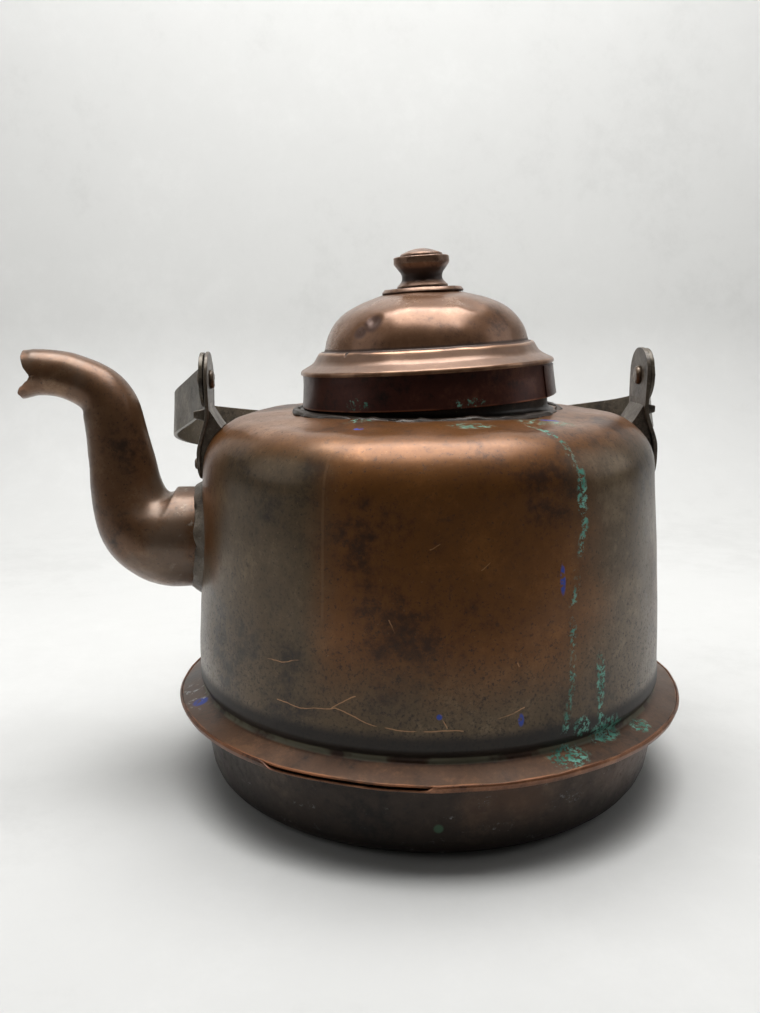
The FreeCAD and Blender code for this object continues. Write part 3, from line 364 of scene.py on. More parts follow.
# %% Spout joint
bm = wire([(27.4, 5.0), (28.4, 5.0, 0.4), (31.3, 0.6, 5), (32.4, -1.8), (27.4, -3.0)], 1.6,
          steps=5, closed=True)
spun(bm, 110)
bmesh.ops.transform(bm, verts=bm.verts, matrix=Matrix.Translation((-0.1239, 0, 0.131))
                    @ Matrix.Rotation(math.radians(-90), 4, "Y"))
for v in bm.verts:
    v.co.x += 0.1239 - math.sqrt(0.1239 ** 2 - v.co.y ** 2) \
        + (v.co.z - 0.131) * 0.0548
dented(bm, 1.4, 10, 15)
dented(bm, 0.6, 4, 16)
piece(bm, "spout_joint", "kettle", "solder", ["spout_solder"])

# %% [markdown]
# ## Ears
# Each ear is a rounded strap of iron-dark copper that follows the wall at its foot and stands
# clear of the shoulder at its head. It begins as one flat face with rounded ends. Slicing
# it with `bisect_plane` adds the rows that let it bend.

# %% Ears
PIVOT_Z = 217.0


def strap_face(bm, low, high, half):
    """A flat face with round ends in the YZ plane, sliced into rows."""
    corners = [(-half, low), (half, low), (half, high), (-half, high)]
    verts = [bm.verts.new((0, y * MM, z * MM)) for y, z in corners]
    bm.faces.new(verts)
    bmesh.ops.bevel(bm, geom=verts, offset=half * 0.97 * MM, offset_type="OFFSET",
                    segments=10, profile=0.5, affect="VERTICES", material=-1)
    for k in range(1, 26):
        geom = bm.verts[:] + bm.edges[:] + bm.faces[:]
        level = low + (high - low) * k / 26
        bmesh.ops.bisect_plane(bm, geom=geom, plane_co=(0, 0, level * MM), plane_no=(0, 0, 1))
    for k in range(1, 6):
        geom = bm.verts[:] + bm.edges[:] + bm.faces[:]
        across = -half + 2 * half * k / 6
        bmesh.ops.bisect_plane(bm, geom=geom, plane_co=(0, across * MM, 0), plane_no=(0, 1, 0))


for side, sign, foot in (("left", -1, 163.25), ("right", 1, 158.0)):
    bm = bmesh.new()
    strap_face(bm, foot, PIVOT_Z + 15, 15)
    for v in bm.verts:
        v.co.x = sign * MM * (124.6 - 5.4 * smooth(v.co.z / MM, 178, 201))
    bmesh.ops.recalc_face_normals(bm, faces=bm.faces)
    bm.faces.ensure_lookup_table()
    if bm.faces[0].normal.x * sign < 0:
        bmesh.ops.reverse_faces(bm, faces=bm.faces)
    dented(bm, 0.5, 20, 20 + sign)
    piece(bm, "ear_strap_" + side, "kettle", "ear_metal", ["ear_" + side], wall=2.0, edge=0.5)
    bm = bmesh.new()
    bmesh.ops.create_cube(bm, size=1.0)
    for v in bm.verts:
        out = v.co.x > 0
        top = v.co.z > 0
        height = (201.8 - 1.8 * out) if top else (193.8 + 2.6 * out)
        v.co = Vector((sign * (127.2 if out else 118.4), v.co.y * 3.2, height)) * MM
    bmesh.ops.recalc_face_normals(bm, faces=bm.faces)
    bmesh.ops.bevel(bm, geom=bm.edges[:], offset=0.6 * MM, offset_type="OFFSET", segments=3,
                    profile=0.5, affect="EDGES", material=-1)
    piece(bm, "ear_lug_" + side, "kettle", "ear_metal")

# %% [markdown]
# ## Rivets
# A rivet is spun once and laid along X. The two pivot rivets pass through ear and bail, the
# four small ones clench the ears to the wall. Peening leaves each head a little uneven.

# %% Rivets
def rivet(bm, inner, outer, shank, head, rise, spot, sign):
    """One rivet along X: head faces at inner and outer, measured from the middle plane."""
    one = wire([(0, inner - rise), (head * 0.8, inner - rise, rise * 0.9), (head, inner),
                (shank, inner), (shank, outer), (head, outer),
                (head * 0.8, outer + rise, rise * 0.9), (0, outer + rise)], 1.5, steps=4)
    spun(one, 28)
    dented(one, 0.35, 3, spot[1])
    turn = Matrix.Rotation(math.radians(90 * sign), 4, "Y")
    place = Matrix.Translation((0, spot[0] * MM, spot[1] * MM))
    bmesh.ops.transform(one, verts=one.verts, matrix=place @ turn)
    mesh = bpy.data.meshes.new("one rivet")
    one.to_mesh(mesh)
    one.free()
    bm.from_mesh(mesh)
    bpy.data.meshes.remove(mesh)


bm = bmesh.new()
for sign in (-1, 1):
    rivet(bm, 117.2, 122.3, 2.8, 5.3, 2.0, (0, PIVOT_Z), sign)
piece(bm, "pivot_rivet_pair", "kettle", "rivet_copper", ["pivot_rivets"])
bm = bmesh.new()
for sign in (-1, 1):
    for across in (-7.5, 7.5):
        rivet(bm, 119.2, 124.65, 2.2, 3.3, 1.7, (across, PIVOT_Z - 44.5), sign)
piece(bm, "ear_rivet_heads", "kettle", "rivet_copper", ["ear_rivets"])

# %% [markdown]
# ## Bail
# The bail is one strap, bent to shape on edge and laid back on the stop lugs. We draw its
# front view as a rounded wire, extrude the wire sideways to the strap's width, round the
# eyes, and swing the result about the pivot line to its resting angle.

# %% Bail
BAIL_REST = math.radians(109)
half = [(122.0, -14.2), (122.0, 13.0, 20), (160.5, 96.5, 35), (63.0, 143.0, 200)]
bm = wire(half + [(-c[0], *c[1:]) for c in reversed(half)], 3.0, steps=12)
made = bmesh.ops.extrude_edge_only(bm, edges=bm.edges[:])
moved = [v for v in made["geom"] if isinstance(v, bmesh.types.BMVert)]
bmesh.ops.translate(bm, verts=moved, vec=(0, 2 * MM, 0))
across = [e for e in bm.edges if abs(e.verts[0].co.y - e.verts[1].co.y) > MM]
bmesh.ops.subdivide_edges(bm, edges=across, cuts=7)
for v in bm.verts:
    height = v.co.z / MM
    reach = 13.5 if height > 5.8 else math.sqrt(max(14.7 ** 2 - height ** 2, 4.0))
    v.co.y = (v.co.y / MM - 1) * reach * MM
bmesh.ops.recalc_face_normals(bm, faces=bm.faces)
side_face = max(bm.faces, key=lambda f: f.calc_center_median().x)
if side_face.normal.x < 0:
    bmesh.ops.reverse_faces(bm, faces=bm.faces)
dented(bm, 0.8, 30, 31, lambda co: smooth(co.z, 0.02, 0.04))
laid_back = Matrix.Translation((0, 0, PIVOT_Z * MM)) @ Matrix.Rotation(-BAIL_REST, 4, "X")
bmesh.ops.transform(bm, verts=bm.verts, matrix=laid_back)
piece(bm, "bail_strap", "bail", "bail_metal", ["bail_handle"], wall=2.2, edge=0.5)

# %% [markdown]
# ## Lid
# The lid is raised in steps: a low dome, a crease, an ogee and a rim, with a plain band
# soldered inside the rim. The whole lid sits a little crooked, so all its pieces are spun
# upright and then moved by one matrix.

# %% Lid sheet work
LID_PLACE = (Matrix.Translation((1.0 * MM, 0, 199.7 * MM)) @ Matrix.Rotation(-LID_TILT, 4, "Y"))


def on_lid(bm):
    bmesh.ops.transform(bm, verts=bm.verts, matrix=LID_PLACE)
    return bm


def round_at(angle, r, z):
    return (r * math.cos(math.radians(angle)), r * math.sin(math.radians(angle)), z)


bm = wire([(0, 63.9), (22, 63.9, 60), (50.8, 50.0, 24.5), (54.8, 34.3, 0.9), (57.8, 33.7, 2.2),
           (61.0, 28.4, 7), (68.4, 24.6, 1.6), (68.4, 22.6)], 2.6, steps=8)
spun(bm, 200)
dented(bm, 0.9, 30, 41, lambda co: smooth(co.z, 0.03, 0.04))
dented(bm, 0.30, 11, 42)
knocked(bm, round_at(-127, 47, 48), 1.3, 6)
knocked(bm, round_at(-134, 50, 44), 0.9, 5)
knocked(bm, round_at(-60, 40, 54), 0.7, 9)
piece(on_lid(bm), "lid_sheet", "lid", "lid_copper", ["lid_dome"], wall=1.1, edge=0.3)

bm = wire([(67.3, 22.9), (67.3, 17.9, 40), (68.6, 5.4)], 2.4, steps=4)
spun(bm, 200)
dented(bm, 0.5, 24, 44)
piece(on_lid(bm), "band_sheet", "lid", "band_copper", ["lid_band"], wall=1.1, edge=0.35)

bm = wire([(67.9, 21.8), (67.95, 17.9, 40), (69.2, 6.0)], 2.4, steps=4)
bmesh.ops.rotate(bm, verts=bm.verts, cent=(0, 0, 0), matrix=Matrix.Rotation(math.radians(-34), 3, "Z"))
spun(bm, 18, sweep=20)
dented(bm, 0.5, 24, 44)
piece(on_lid(bm), "band_lap", "lid", "band_copper", wall=0.6, edge=0.2)

# %% [markdown]
# The knob is turned from solid copper and stands on a flat rosette. Solids of revolution
# need no thickness: the profile simply starts and ends on the axis.

# %% Knob
bm = wire([(2.6, 64.0), (2.6, 64.8), (20.4, 64.8, 0.6), (21.4, 63.6, 0.5), (21.8, 62.9), (21.4, 62.3)],
          1.6, steps=4)
spun(bm, 120)
dented(bm, 0.3, 12, 46)
piece(on_lid(bm), "rosette", "lid", "knob_copper", ["knob_rosette"], edge=0.2)

bm = wire([(2.6, 64.8), (13.6, 64.8), (13.6, 66.2, 0.6), (10.8, 69.0, 2.6), (10.8, 72.2, 4.4),
           (14.9, 77.8, 1.6), (14.9, 81.4, 0.8), (2.6, 81.4)], 1.0, steps=6)
spun(bm, 96)
dented(bm, 0.25, 7, 47)
piece(on_lid(bm), "knob_turning", "lid", "knob_copper", ["knob_body"])

bm = wire([(0, 85.4), (4.0, 85.4, 12), (11.0, 83.0, 2), (11.8, 81.4), (0, 81.4)], 1.0, steps=6)
spun(bm, 72)
dented(bm, 0.35, 6, 48)
piece(on_lid(bm), "knob_button", "lid", "knob_copper", ["knob_cap"])

# %% [markdown]
# ## Drafting board for materials
# A material is a graph of nodes. This small helper adds a node, fills its sockets in order or
# by name, and links whatever is already a socket, so each finish reads like a recipe.
# `effect` makes a node group: an effect built once and used by several finishes.

# %% Node helper
def tone(r, g, b):
    """A screen colour from 0 to 255 as Blender's linear colour."""
    return tuple(((c / 255 + 0.055) / 1.055) ** 2.4 if c > 10 else c / 255 / 12.92
                 for c in (r, g, b)) + (1.0,)


class Board:
    def __init__(self, tree):
        self.tree = tree
        tree.nodes.clear()

    def put(self, socket, value):
        if isinstance(value, bpy.types.NodeSocket):
            self.tree.links.new(value, socket)
        elif value is not None:
            socket.default_value = value

    def add(self, kind, *values, named=None, **settings):
        node = self.tree.nodes.new(kind if kind.startswith("Node") else "ShaderNode" + kind)
        count = len(self.tree.nodes)
        node.location = (count % 9 * 190, -(count // 9) * 230)
        for key, value in settings.items():
            setattr(node, key, value)
        for socket, value in zip(node.inputs, values):
            self.put(socket, value)
        for key, value in (named or {}).items():
            self.put(node.inputs[key], value)
        return node

    def math(self, operation, *values, clamp=False):
        return self.add("Math", *values, operation=operation, use_clamp=clamp).outputs[0]

    def vector(self, operation, *values):
        node = self.add("VectorMath", *values, operation=operation)
        return node.outputs["Value" if operation in ("LENGTH", "DOT_PRODUCT") else "Vector"]

    def ramp(self, value, low, high):
        return self.add("MapRange", value, low, high, interpolation_type="SMOOTHSTEP").outputs[0]

    def band(self, value, low, high, soft):
        """1 between low and high, fading to 0 over soft on each side."""
        return self.math("MULTIPLY", self.ramp(value, low - soft, low),
                         self.math("SUBTRACT", 1.0, self.ramp(value, high, high + soft)))

    def mix(self, share, a, b):
        node = self.add("Mix", data_type="RGBA")
        for key, value in ((0, share), (6, a), (7, b)):
            self.put(node.inputs[key], value)
        return node.outputs[2]

    def noise(self, place, scale, detail=3.0, rough=0.5):
        named = {"Vector": place, "Scale": scale, "Detail": detail, "Roughness": rough}
        return self.add("TexNoise", named=named).outputs[0]

    def swirl(self, place, scale, size, detail=2.0):
        """A small random offset that varies smoothly from place to place."""
        named = {"Vector": place, "Scale": scale, "Detail": detail}
        random = self.add("TexNoise", named=named).outputs[1]
        centred = self.vector("SUBTRACT", random, (0.5, 0.5, 0.5))
        return self.vector("MULTIPLY", centred, (size, size, size))

    def use(self, group, **named):
        node = self.add("Group", node_tree=group)
        for key, value in named.items():
            self.put(node.inputs[key], value)
        return node.outputs


def effect(name, inputs, outputs):
    """A node group with named sockets: the group, its board, its inputs and its outputs."""
    group = bpy.data.node_groups.new(name, "ShaderNodeTree")
    board = Board(group)
    kinds = {"v": "NodeSocketVector", "f": "NodeSocketFloat", "c": "NodeSocketColor"}
    for key, kind in inputs:
        group.interface.new_socket(key, in_out="INPUT", socket_type=kinds[kind])
    for key, kind in outputs:
        group.interface.new_socket(key, in_out="OUTPUT", socket_type=kinds[kind])
    return (group, board, board.add("NodeGroupInput").outputs,
            board.add("NodeGroupOutput").inputs)


print("a mid brown is", [round(c, 3) for c in tone(128, 78, 40)])

# %% [markdown]
# ## Shared effects
# *Unrolled wall* turns a place on a round pot into arc length, height and radius in
# millimetres, so marks can be set out as on a flat drawing. *Mottle* is the patina itself,
# two sizes of noise driving three tones. *Speckle* leaves scattered spots, *patch* is a soft
# oval, *stroke* a straight scratch, and *crust* breaks a mask up into powdery verdigris.

# %% Shared effects
unrolled, b, i, o = effect("unrolled wall", [("Place", "v")], [("Flat", "v")])
x, y, z = b.add("SeparateXYZ", b.vector("MULTIPLY", i["Place"], (1000, 1000, 1000))).outputs
arc = b.math("MULTIPLY", b.math("ARCTAN2", x, b.math("MULTIPLY", y, -1.0)), 128.0)
reach = b.vector("LENGTH", b.add("CombineXYZ", x, y).outputs[0])
b.put(o["Flat"], b.add("CombineXYZ", arc, z, reach).outputs[0])

mottle, b, i, o = effect("mottle", [("Place", "v"), ("Scale", "f"), ("Dark", "c"), ("Middle", "c"),
                                    ("Light", "c")], [("Color", "c"), ("Level", "f")])
wide = b.noise(i["Place"], i["Scale"], 5, 0.62)
fine = b.noise(i["Place"], b.math("MULTIPLY", i["Scale"], 9.0), 9, 0.78)
level = b.math("ADD", b.math("MULTIPLY", wide, 0.62), b.math("MULTIPLY", fine, 0.38))
colour = b.mix(b.ramp(level, 0.36, 0.5), i["Dark"], i["Middle"])
b.put(o["Color"], b.mix(b.ramp(level, 0.5, 0.66), colour, i["Light"]))
b.put(o["Level"], level)

speckle, b, i, o = effect("speckle", [("Place", "v"), ("Scale", "f"), ("Cover", "f")],
                          [("Mask", "f")])
grain = b.noise(i["Place"], i["Scale"], 8, 0.72)
low = b.math("SUBTRACT", 0.68, b.math("MULTIPLY", i["Cover"], 0.3))
b.put(o["Mask"], b.ramp(grain, low, b.math("ADD", low, 0.12)))

patch, b, i, o = effect("patch", [("Flat", "v"), ("Middle", "v"), ("Reach", "v")], [("Mask", "f")])
away = b.vector("DIVIDE", b.vector("SUBTRACT", i["Flat"], i["Middle"]), i["Reach"])
b.put(o["Mask"], b.math("SUBTRACT", 1.0, b.ramp(b.vector("LENGTH", away), 0.55, 1.0)))

stroke, b, i, o = effect("stroke", [("Flat", "v"), ("From", "v"), ("To", "v"), ("Width", "f")],
                         [("Mask", "f")])
run = b.vector("SUBTRACT", i["To"], i["From"])
here = b.vector("MULTIPLY", b.vector("SUBTRACT", i["Flat"], i["From"]), (1, 1, 0))
share = b.math("DIVIDE", b.vector("DOT_PRODUCT", here, run), b.vector("DOT_PRODUCT", run, run),
               clamp=True)
spread = b.add("CombineXYZ", share, share, share).outputs[0]
gap = b.vector("LENGTH", b.vector("SUBTRACT", here, b.vector("MULTIPLY", run, spread)))
b.put(o["Mask"], b.math("SUBTRACT", 1.0, b.ramp(gap, b.math("MULTIPLY", i["Width"], 0.4),
                                                i["Width"])))

crust, b, i, o = effect("crust", [("Place", "v"), ("Area", "f"), ("Cover", "f")],
                        [("Mask", "f"), ("Color", "c")])
lumps = b.noise(i["Place"], 420, 8, 0.72)
low = b.math("SUBTRACT", 0.66, b.math("MULTIPLY", i["Cover"], 0.3))
low = b.math("SUBTRACT", low, b.math("MULTIPLY", i["Area"], 0.06))
b.put(o["Mask"], b.math("MULTIPLY", i["Area"], b.ramp(lumps, low, b.math("ADD", low, 0.07))))
tint = b.noise(i["Place"], 90, 3)
b.put(o["Color"], b.mix(b.ramp(tint, 0.4, 0.62), tone(66, 134, 116), tone(128, 194, 176)))
print("effects:", [g.name for g in bpy.data.node_groups])

# %% [markdown]
# ## Closing a finish
# Every finish ends the same way: colour, metal share and roughness go to a Principled BSDF,
# and a height in millimetres goes through a Bump node. `covered` lays one thing over another
# on all of them at once, as dirt or a scratch does on the real sheet.

# %% Finish helper
class Finish(Board):
    """A material on a piece: its place in the object, and layers that build up its surface."""

    def __init__(self, name):
        self.material = bpy.data.materials.new(name)
        self.material.use_nodes = True
        super().__init__(self.material.node_tree)
        self.place = self.add("TexCoord").outputs["Object"]
        self.metal = 0.5
        self.coat = 0.22
        self.height = None

    def base(self, scale, dark, middle, light, smoothest, dullest, place=None):
        made = self.use(mottle, Place=place or self.place, Scale=scale, Dark=tone(*dark),
                        Middle=tone(*middle), Light=tone(*light))
        self.colour = made["Color"]
        self.level = made["Level"]
        self.rough = self.add("MapRange", self.level, 0.35, 0.65, dullest, smoothest).outputs[0]

    def value(self, share, a, b):
        """A plain number blended by a share."""
        node = self.add("Mix", data_type="FLOAT")
        for key, v in ((0, share), (2, a), (3, b)):
            self.put(node.inputs[key], v)
        return node.outputs[0]

    def covered(self, share, colour, metal=None, rough=None, rise=0.0):
        self.colour = self.mix(share, self.colour, colour)
        if metal is not None:
            self.metal = self.value(share, self.metal, metal)
        if rough is not None:
            self.rough = self.value(share, self.rough, rough)
        if rise:
            step = self.math("MULTIPLY", share, rise)
            self.height = step if self.height is None else self.math("ADD", self.height, step)

    def times(self, *shares):
        out = shares[0]
        for share in shares[1:]:
            out = self.math("MULTIPLY", out, share)
        return out

    def most(self, *shares):
        out = shares[0]
        for share in shares[1:]:
            out = self.math("MAXIMUM", out, share)
        return out

    def close(self, ripple=0.12, ripple_scale=160):
        rough_skin = self.math("MULTIPLY", self.noise(self.place, ripple_scale, 4, 0.6), ripple)
        height = rough_skin if self.height is None else self.math("ADD", rough_skin, self.height)
        bump = self.add("Bump", named={"Strength": 1.0, "Distance": 0.001, "Height": height})
        skin = self.add("BsdfPrincipled", named={"Base Color": self.colour, "Metallic": self.metal,
                                                 "Roughness": self.rough,
                                                 "Coat Weight": self.coat,
                                                 "Coat Roughness": 0.24,
                                                 "Normal": bump.outputs[0]})
        end = self.add("OutputMaterial")
        self.tree.links.new(skin.outputs[0], end.inputs[0])
        print(self.material.name, len(self.tree.nodes), "nodes")
        return self.material


finishes = {}

# %% [markdown]
# ## Body finish
# The middle of the wall is warm brown; the sides and foot are greyer, partly patina and partly
# a painted reflection of the white surroundings. Dark specks lie everywhere, the groove above
# the brim is darkened with painted shade and a pale painted highlight runs along its foot.
# Verdigris has run down the right of the front in two lines and pooled on the brim. The runs
# follow a Float Curve that gives the arc position for each height.

# %% Body finish
WARM = ((58, 32, 13), (108, 66, 25), (136, 88, 42))
GREY_PATINA_AND_SHEEN = ((46, 35, 22), (84, 67, 45), (114, 95, 70))
VERDIGRIS_PATH = [(0.0, 0.54), (0.265, 0.54), (0.36, 0.559), (0.42, 0.59), (0.515, 0.592),
                  (0.61, 0.599), (0.70, 0.637), (0.79, 0.672), (0.89, 0.655), (1.0, 0.608)]
SCRATCHES = [((-95.6, 91.5), (-85.8, 91.5)), ((-85.8, 91.5), (-74.0, 94.7)),
             ((-87.6, 73.0), (-73.7, 71.8)), ((-73.7, 71.8), (-55.2, 74.5)),
             ((-55.2, 74.5), (-36.0, 68.7)), ((-36.0, 68.7), (-24.6, 67.2)),
             ((-24.6, 67.2), (3.6, 67.4)), ((-57.9, 74.1), (-45.6, 81.3)),
             ((-6.7, 75.0), (-3.6, 68.5)), ((29.0, 96.8), (29.8, 95.0)),
             ((-11.2, 149.8), (-6.7, 151.9)), ((20.0, 72.0), (33.0, 75.0)),
             ((-30.0, 118.0), (-27.0, 112.0)), ((12.0, 140.0), (16.0, 143.0))]

f = Finish("body copper")
f.base(20, *WARM, 0.30, 0.46)
flat = f.use(unrolled, Place=f.place)["Flat"]
arc, height, reach = f.add("SeparateXYZ", flat).outputs
wander = f.math("MULTIPLY", f.math("SUBTRACT", f.noise(f.place, 14, 4, 0.6), 0.5), 70.0)
slid = f.math("ADD", arc, wander)
front_zone = f.times(f.ramp(f.math("ADD", arc, f.math("MULTIPLY", wander, 0.3)), -76, -50),
                     f.math("SUBTRACT", 1.0, f.ramp(slid, 38, 96)))
back_zone = f.times(f.ramp(f.noise(f.place, 8, 4, 0.55), 0.5, 0.6),
                    f.ramp(f.math("ABSOLUTE", arc), 120, 170))
lifted = f.ramp(f.math("ADD", height, f.math("MULTIPLY", wander, 0.5)), 66, 112)
# The greyer tone on the sides and foot is partly patina and partly a painted reflection of the white
# surroundings on the flanks.
grey_and_sheen = f.use(mottle, Place=f.place, Scale=26, Dark=tone(*GREY_PATINA_AND_SHEEN[0]), Middle=tone(*GREY_PATINA_AND_SHEEN[1]),
             Light=tone(*GREY_PATINA_AND_SHEEN[2]))
grey_and_sheen_share = f.math("SUBTRACT", 1.0, f.times(f.most(front_zone, back_zone), lifted))
grey_and_sheen_share = f.times(grey_and_sheen_share, f.math("SUBTRACT", 1.0, f.ramp(height, 182, 196)))
f.covered(grey_and_sheen_share, grey_and_sheen["Color"], metal=0.42)
low_share = f.math("SUBTRACT", 1.0, f.ramp(height, 60, 150))
soot = f.use(speckle, Place=f.place, Scale=640, Cover=f.math("ADD", 0.42, f.math(
    "MULTIPLY", low_share, 0.18)))["Mask"]
f.covered(f.times(soot, 0.75), tone(26, 17, 10), metal=0.3, rough=0.6)
pits = f.use(speckle, Place=f.place, Scale=280, Cover=0.4)["Mask"]
f.covered(f.times(pits, 0.5), tone(34, 22, 12), metal=0.3, rough=0.6)
blots = f.use(speckle, Place=f.place, Scale=90, Cover=0.34)["Mask"]
f.covered(f.times(blots, 0.12), tone(44, 30, 20), rough=0.5)
pale = f.use(speckle, Place=f.vector("ADD", f.place, (0.3, 0.1, 0.2)), Scale=520,
             Cover=0.22)["Mask"]
f.covered(f.times(pale, 0.5), tone(150, 122, 94))
seam = f.times(f.math("SUBTRACT", 1.0, f.ramp(f.math("ABSOLUTE", f.math("ADD", arc, 62.0)),
                                              0.3, 1.1)), f.band(height, 118, 184, 6))
f.covered(f.times(seam, 0.3), tone(132, 98, 68), rise=0.05)
# Painted shade: the groove above the brim is darkened where the foot of the wall shades it.
groove_shade = f.times(f.band(height, 53.0, 61.5, 6.0), f.math("SUBTRACT", 1.0,
                                                         f.ramp(reach, 127.9, 129.5)))
f.covered(f.times(groove_shade, 0.9), tone(18, 10, 6), metal=0.2, rough=0.7)
on_brim = f.times(f.ramp(reach, 124.6, 127.0), f.math("SUBTRACT", 1.0, f.ramp(height, 53.0, 54.5)))
rust = f.use(mottle, Place=f.place, Scale=34, Dark=tone(38, 24, 15), Middle=tone(82, 54, 34),
             Light=tone(116, 80, 52))
f.covered(f.times(on_brim, 0.85), rust["Color"], metal=0.45, rough=0.42)
# Painted highlight: a pale line where the bottom of the groove faces up to the light.
foot_highlight = f.times(f.band(reach, 124.0, 126.2, 1.2), f.math("SUBTRACT", 1.0,
                                                             f.ramp(height, 53.4, 54.6)),
                    f.ramp(f.noise(f.place, 60, 3), 0.4, 0.55))
f.covered(f.times(foot_highlight, 0.7), tone(128, 126, 104), metal=0.0, rough=0.9)
rim_wear = f.times(f.ramp(reach, 137.6, 138.5), f.ramp(f.noise(f.place, 45, 3), 0.4, 0.58))
f.covered(f.times(rim_wear, 0.8), tone(176, 118, 82), metal=0.9, rough=0.32)

# %% [markdown]
# Scratches are bare metal, so they are brighter, smoother and slightly sunk. Verdigris is a
# mineral crust: no metal, very rough, slightly raised.

# %% Body marks
marks = None
shaky = f.vector("ADD", flat, f.swirl(f.place, 70, 3.4, 4))
for (x0, y0), (x1, y1) in SCRATCHES:
    mark = f.use(stroke, Flat=shaky, From=(x0, y0, 0), To=(x1, y1, 0), Width=0.32)["Mask"]
    marks = mark if marks is None else f.math("MAXIMUM", marks, mark)
marks = f.times(marks, f.ramp(f.noise(f.place, 150, 2), 0.34, 0.5),
                f.math("SUBTRACT", 1.0, f.ramp(f.math("ABSOLUTE", arc), 140, 150)))
f.covered(f.times(marks, 0.6), tone(196, 148, 106), metal=0.8, rough=0.35, rise=-0.03)

curve = f.add("FloatCurve", 1.0, f.math("DIVIDE", height, 200.0))
line = curve.mapping.curves[0]
line.points[0].location, line.points[1].location = VERDIGRIS_PATH[0], VERDIGRIS_PATH[-1]
for spot in VERDIGRIS_PATH[1:-1]:
    line.points.new(*spot)
curve.mapping.update()
path = f.math("MULTIPLY", curve.outputs[0], 100.0)
jitter = f.math("MULTIPLY", f.math("SUBTRACT", f.noise(f.place, 90, 3), 0.5), 7.0)
off_path = f.math("ABSOLUTE", f.math("ADD", f.math("SUBTRACT", arc, path), jitter))
streaks = f.ramp(f.noise(f.vector("MULTIPLY", f.place, (0, 0, 1)), 55, 3), 0.40, 0.56)
run_one = f.times(f.math("SUBTRACT", 1.0, f.ramp(off_path, 0.9, 3.2)), f.band(height, 62, 196, 4),
                  f.most(streaks, f.band(height, 164, 180, 3)))
off_second = f.math("ABSOLUTE", f.math("ADD", f.math("SUBTRACT", arc, 77.0), jitter))
run_two = f.times(f.math("SUBTRACT", 1.0, f.ramp(off_second, 0.8, 3.4)),
                  f.band(height, 56, 92, 5), f.most(streaks, f.band(height, 72, 90, 2)))
pools = None
for middle, size in (((54, 50, 131), (13, 7, 9)), ((82, 55, 127), (15, 8, 7)),
                     ((107, 50, 131), (8, 5, 6)), ((64, 61, 127), (7, 6, 6)),
                     ((78, 82, 127), (4, 14, 10)), ((66, 170, 122), (4, 13, 10))):
    pool = f.use(patch, Flat=flat, Middle=middle, Reach=size)["Mask"]
    pools = pool if pools is None else f.math("MAXIMUM", pools, pool)
on_top = f.vector("MULTIPLY", f.place, (1000, 1000, 1000))
for middle, size in (((52, -68, 199), (19, 11, 6)), ((12, -84, 198), (14, 7, 5)),
                     ((-38, -66, 199), (10, 5, 5))):
    pool = f.use(patch, Flat=on_top, Middle=middle, Reach=size)["Mask"]
    pools = f.math("MAXIMUM", pools, f.math("MULTIPLY", pool, 0.7))
green = f.use(crust, Place=f.place, Area=f.most(run_one, run_two, pools), Cover=0.42)
f.covered(f.times(green["Mask"], 0.9), green["Color"], metal=0.0, rough=0.92, rise=0.18)

blue = None
for middle, size in (((53.6, 132, 124), (1.9, 8.5, 30)), ((31, 70, 127), (1.8, 3.6, 30)),
                     ((-7, 74, 127), (1.6, 1.6, 30)), ((-160, 50, 131), (5, 3, 6))):
    mark = f.use(patch, Flat=flat, Middle=middle, Reach=size)["Mask"]
    blue = mark if blue is None else f.math("MAXIMUM", blue, mark)
for middle, size in (((-28, -51, 199), (3.5, 2.2, 6)), ((54, -62, 199), (6.5, 1.6, 6)),
                     ((-40, -80, 199), (3, 2, 6))):
    mark = f.use(patch, Flat=on_top, Middle=middle, Reach=size)["Mask"]
    blue = f.math("MAXIMUM", blue, mark)
blue = f.times(blue, f.ramp(f.noise(f.place, 260, 3), 0.36, 0.46))
f.covered(f.times(blue, 0.95), tone(30, 60, 156), metal=0.0, rough=0.6, rise=0.05)
white = f.times(f.use(patch, Flat=flat, Middle=(-172, 49, 132), Reach=(26, 8, 8))["Mask"],
                f.use(speckle, Place=f.place, Scale=180, Cover=0.5)["Mask"])
f.covered(f.times(white, 0.8), tone(200, 200, 200), metal=0.0, rough=0.8)
finishes["body_copper"] = f.close(0.10, 170)

# %% [markdown]
# ## Pan finish
# The pan stood in the fire: its wall is sooty, with rubbed spots where it slid over the
# stove ring. Only the hem at the top was handled, so its edge shows bright copper.

# %% Pan finish
f = Finish("pan copper")
f.coat = 0.1
f.base(18, (18, 12, 9), (46, 34, 25), (78, 62, 48), 0.36, 0.6)
flat = f.use(unrolled, Place=f.place)["Flat"]
arc, height, reach = f.add("SeparateXYZ", flat).outputs
f.covered(f.times(f.math("SUBTRACT", 1.0, f.ramp(height, 4, 26)), 0.6), tone(24, 17, 14),
          metal=0.5, rough=0.62)
soot = f.use(speckle, Place=f.place, Scale=260, Cover=0.5)["Mask"]
f.covered(f.times(soot, 0.5), tone(16, 12, 10), metal=0.2, rough=0.75)
scuffs = f.times(f.use(speckle, Place=f.vector("MULTIPLY", f.place, (1, 1, 2.2)), Scale=60,
                       Cover=0.36)["Mask"], f.use(speckle, Place=f.place, Scale=420,
                                                  Cover=0.62)["Mask"])
f.covered(f.times(scuffs, 0.7), tone(150, 152, 152), metal=0.1, rough=0.7)
warm = f.times(f.ramp(f.noise(f.place, 12, 3), 0.5, 0.64), f.ramp(height, 8, 30))
f.covered(f.times(warm, 0.5), tone(92, 62, 40))
hem = f.times(f.ramp(reach, 137.6, 138.6), f.ramp(height, 42, 43.5))
hem_tone = f.use(mottle, Place=f.place, Scale=50, Dark=tone(62, 38, 26), Middle=tone(116, 76, 52),
                 Light=tone(160, 112, 80))
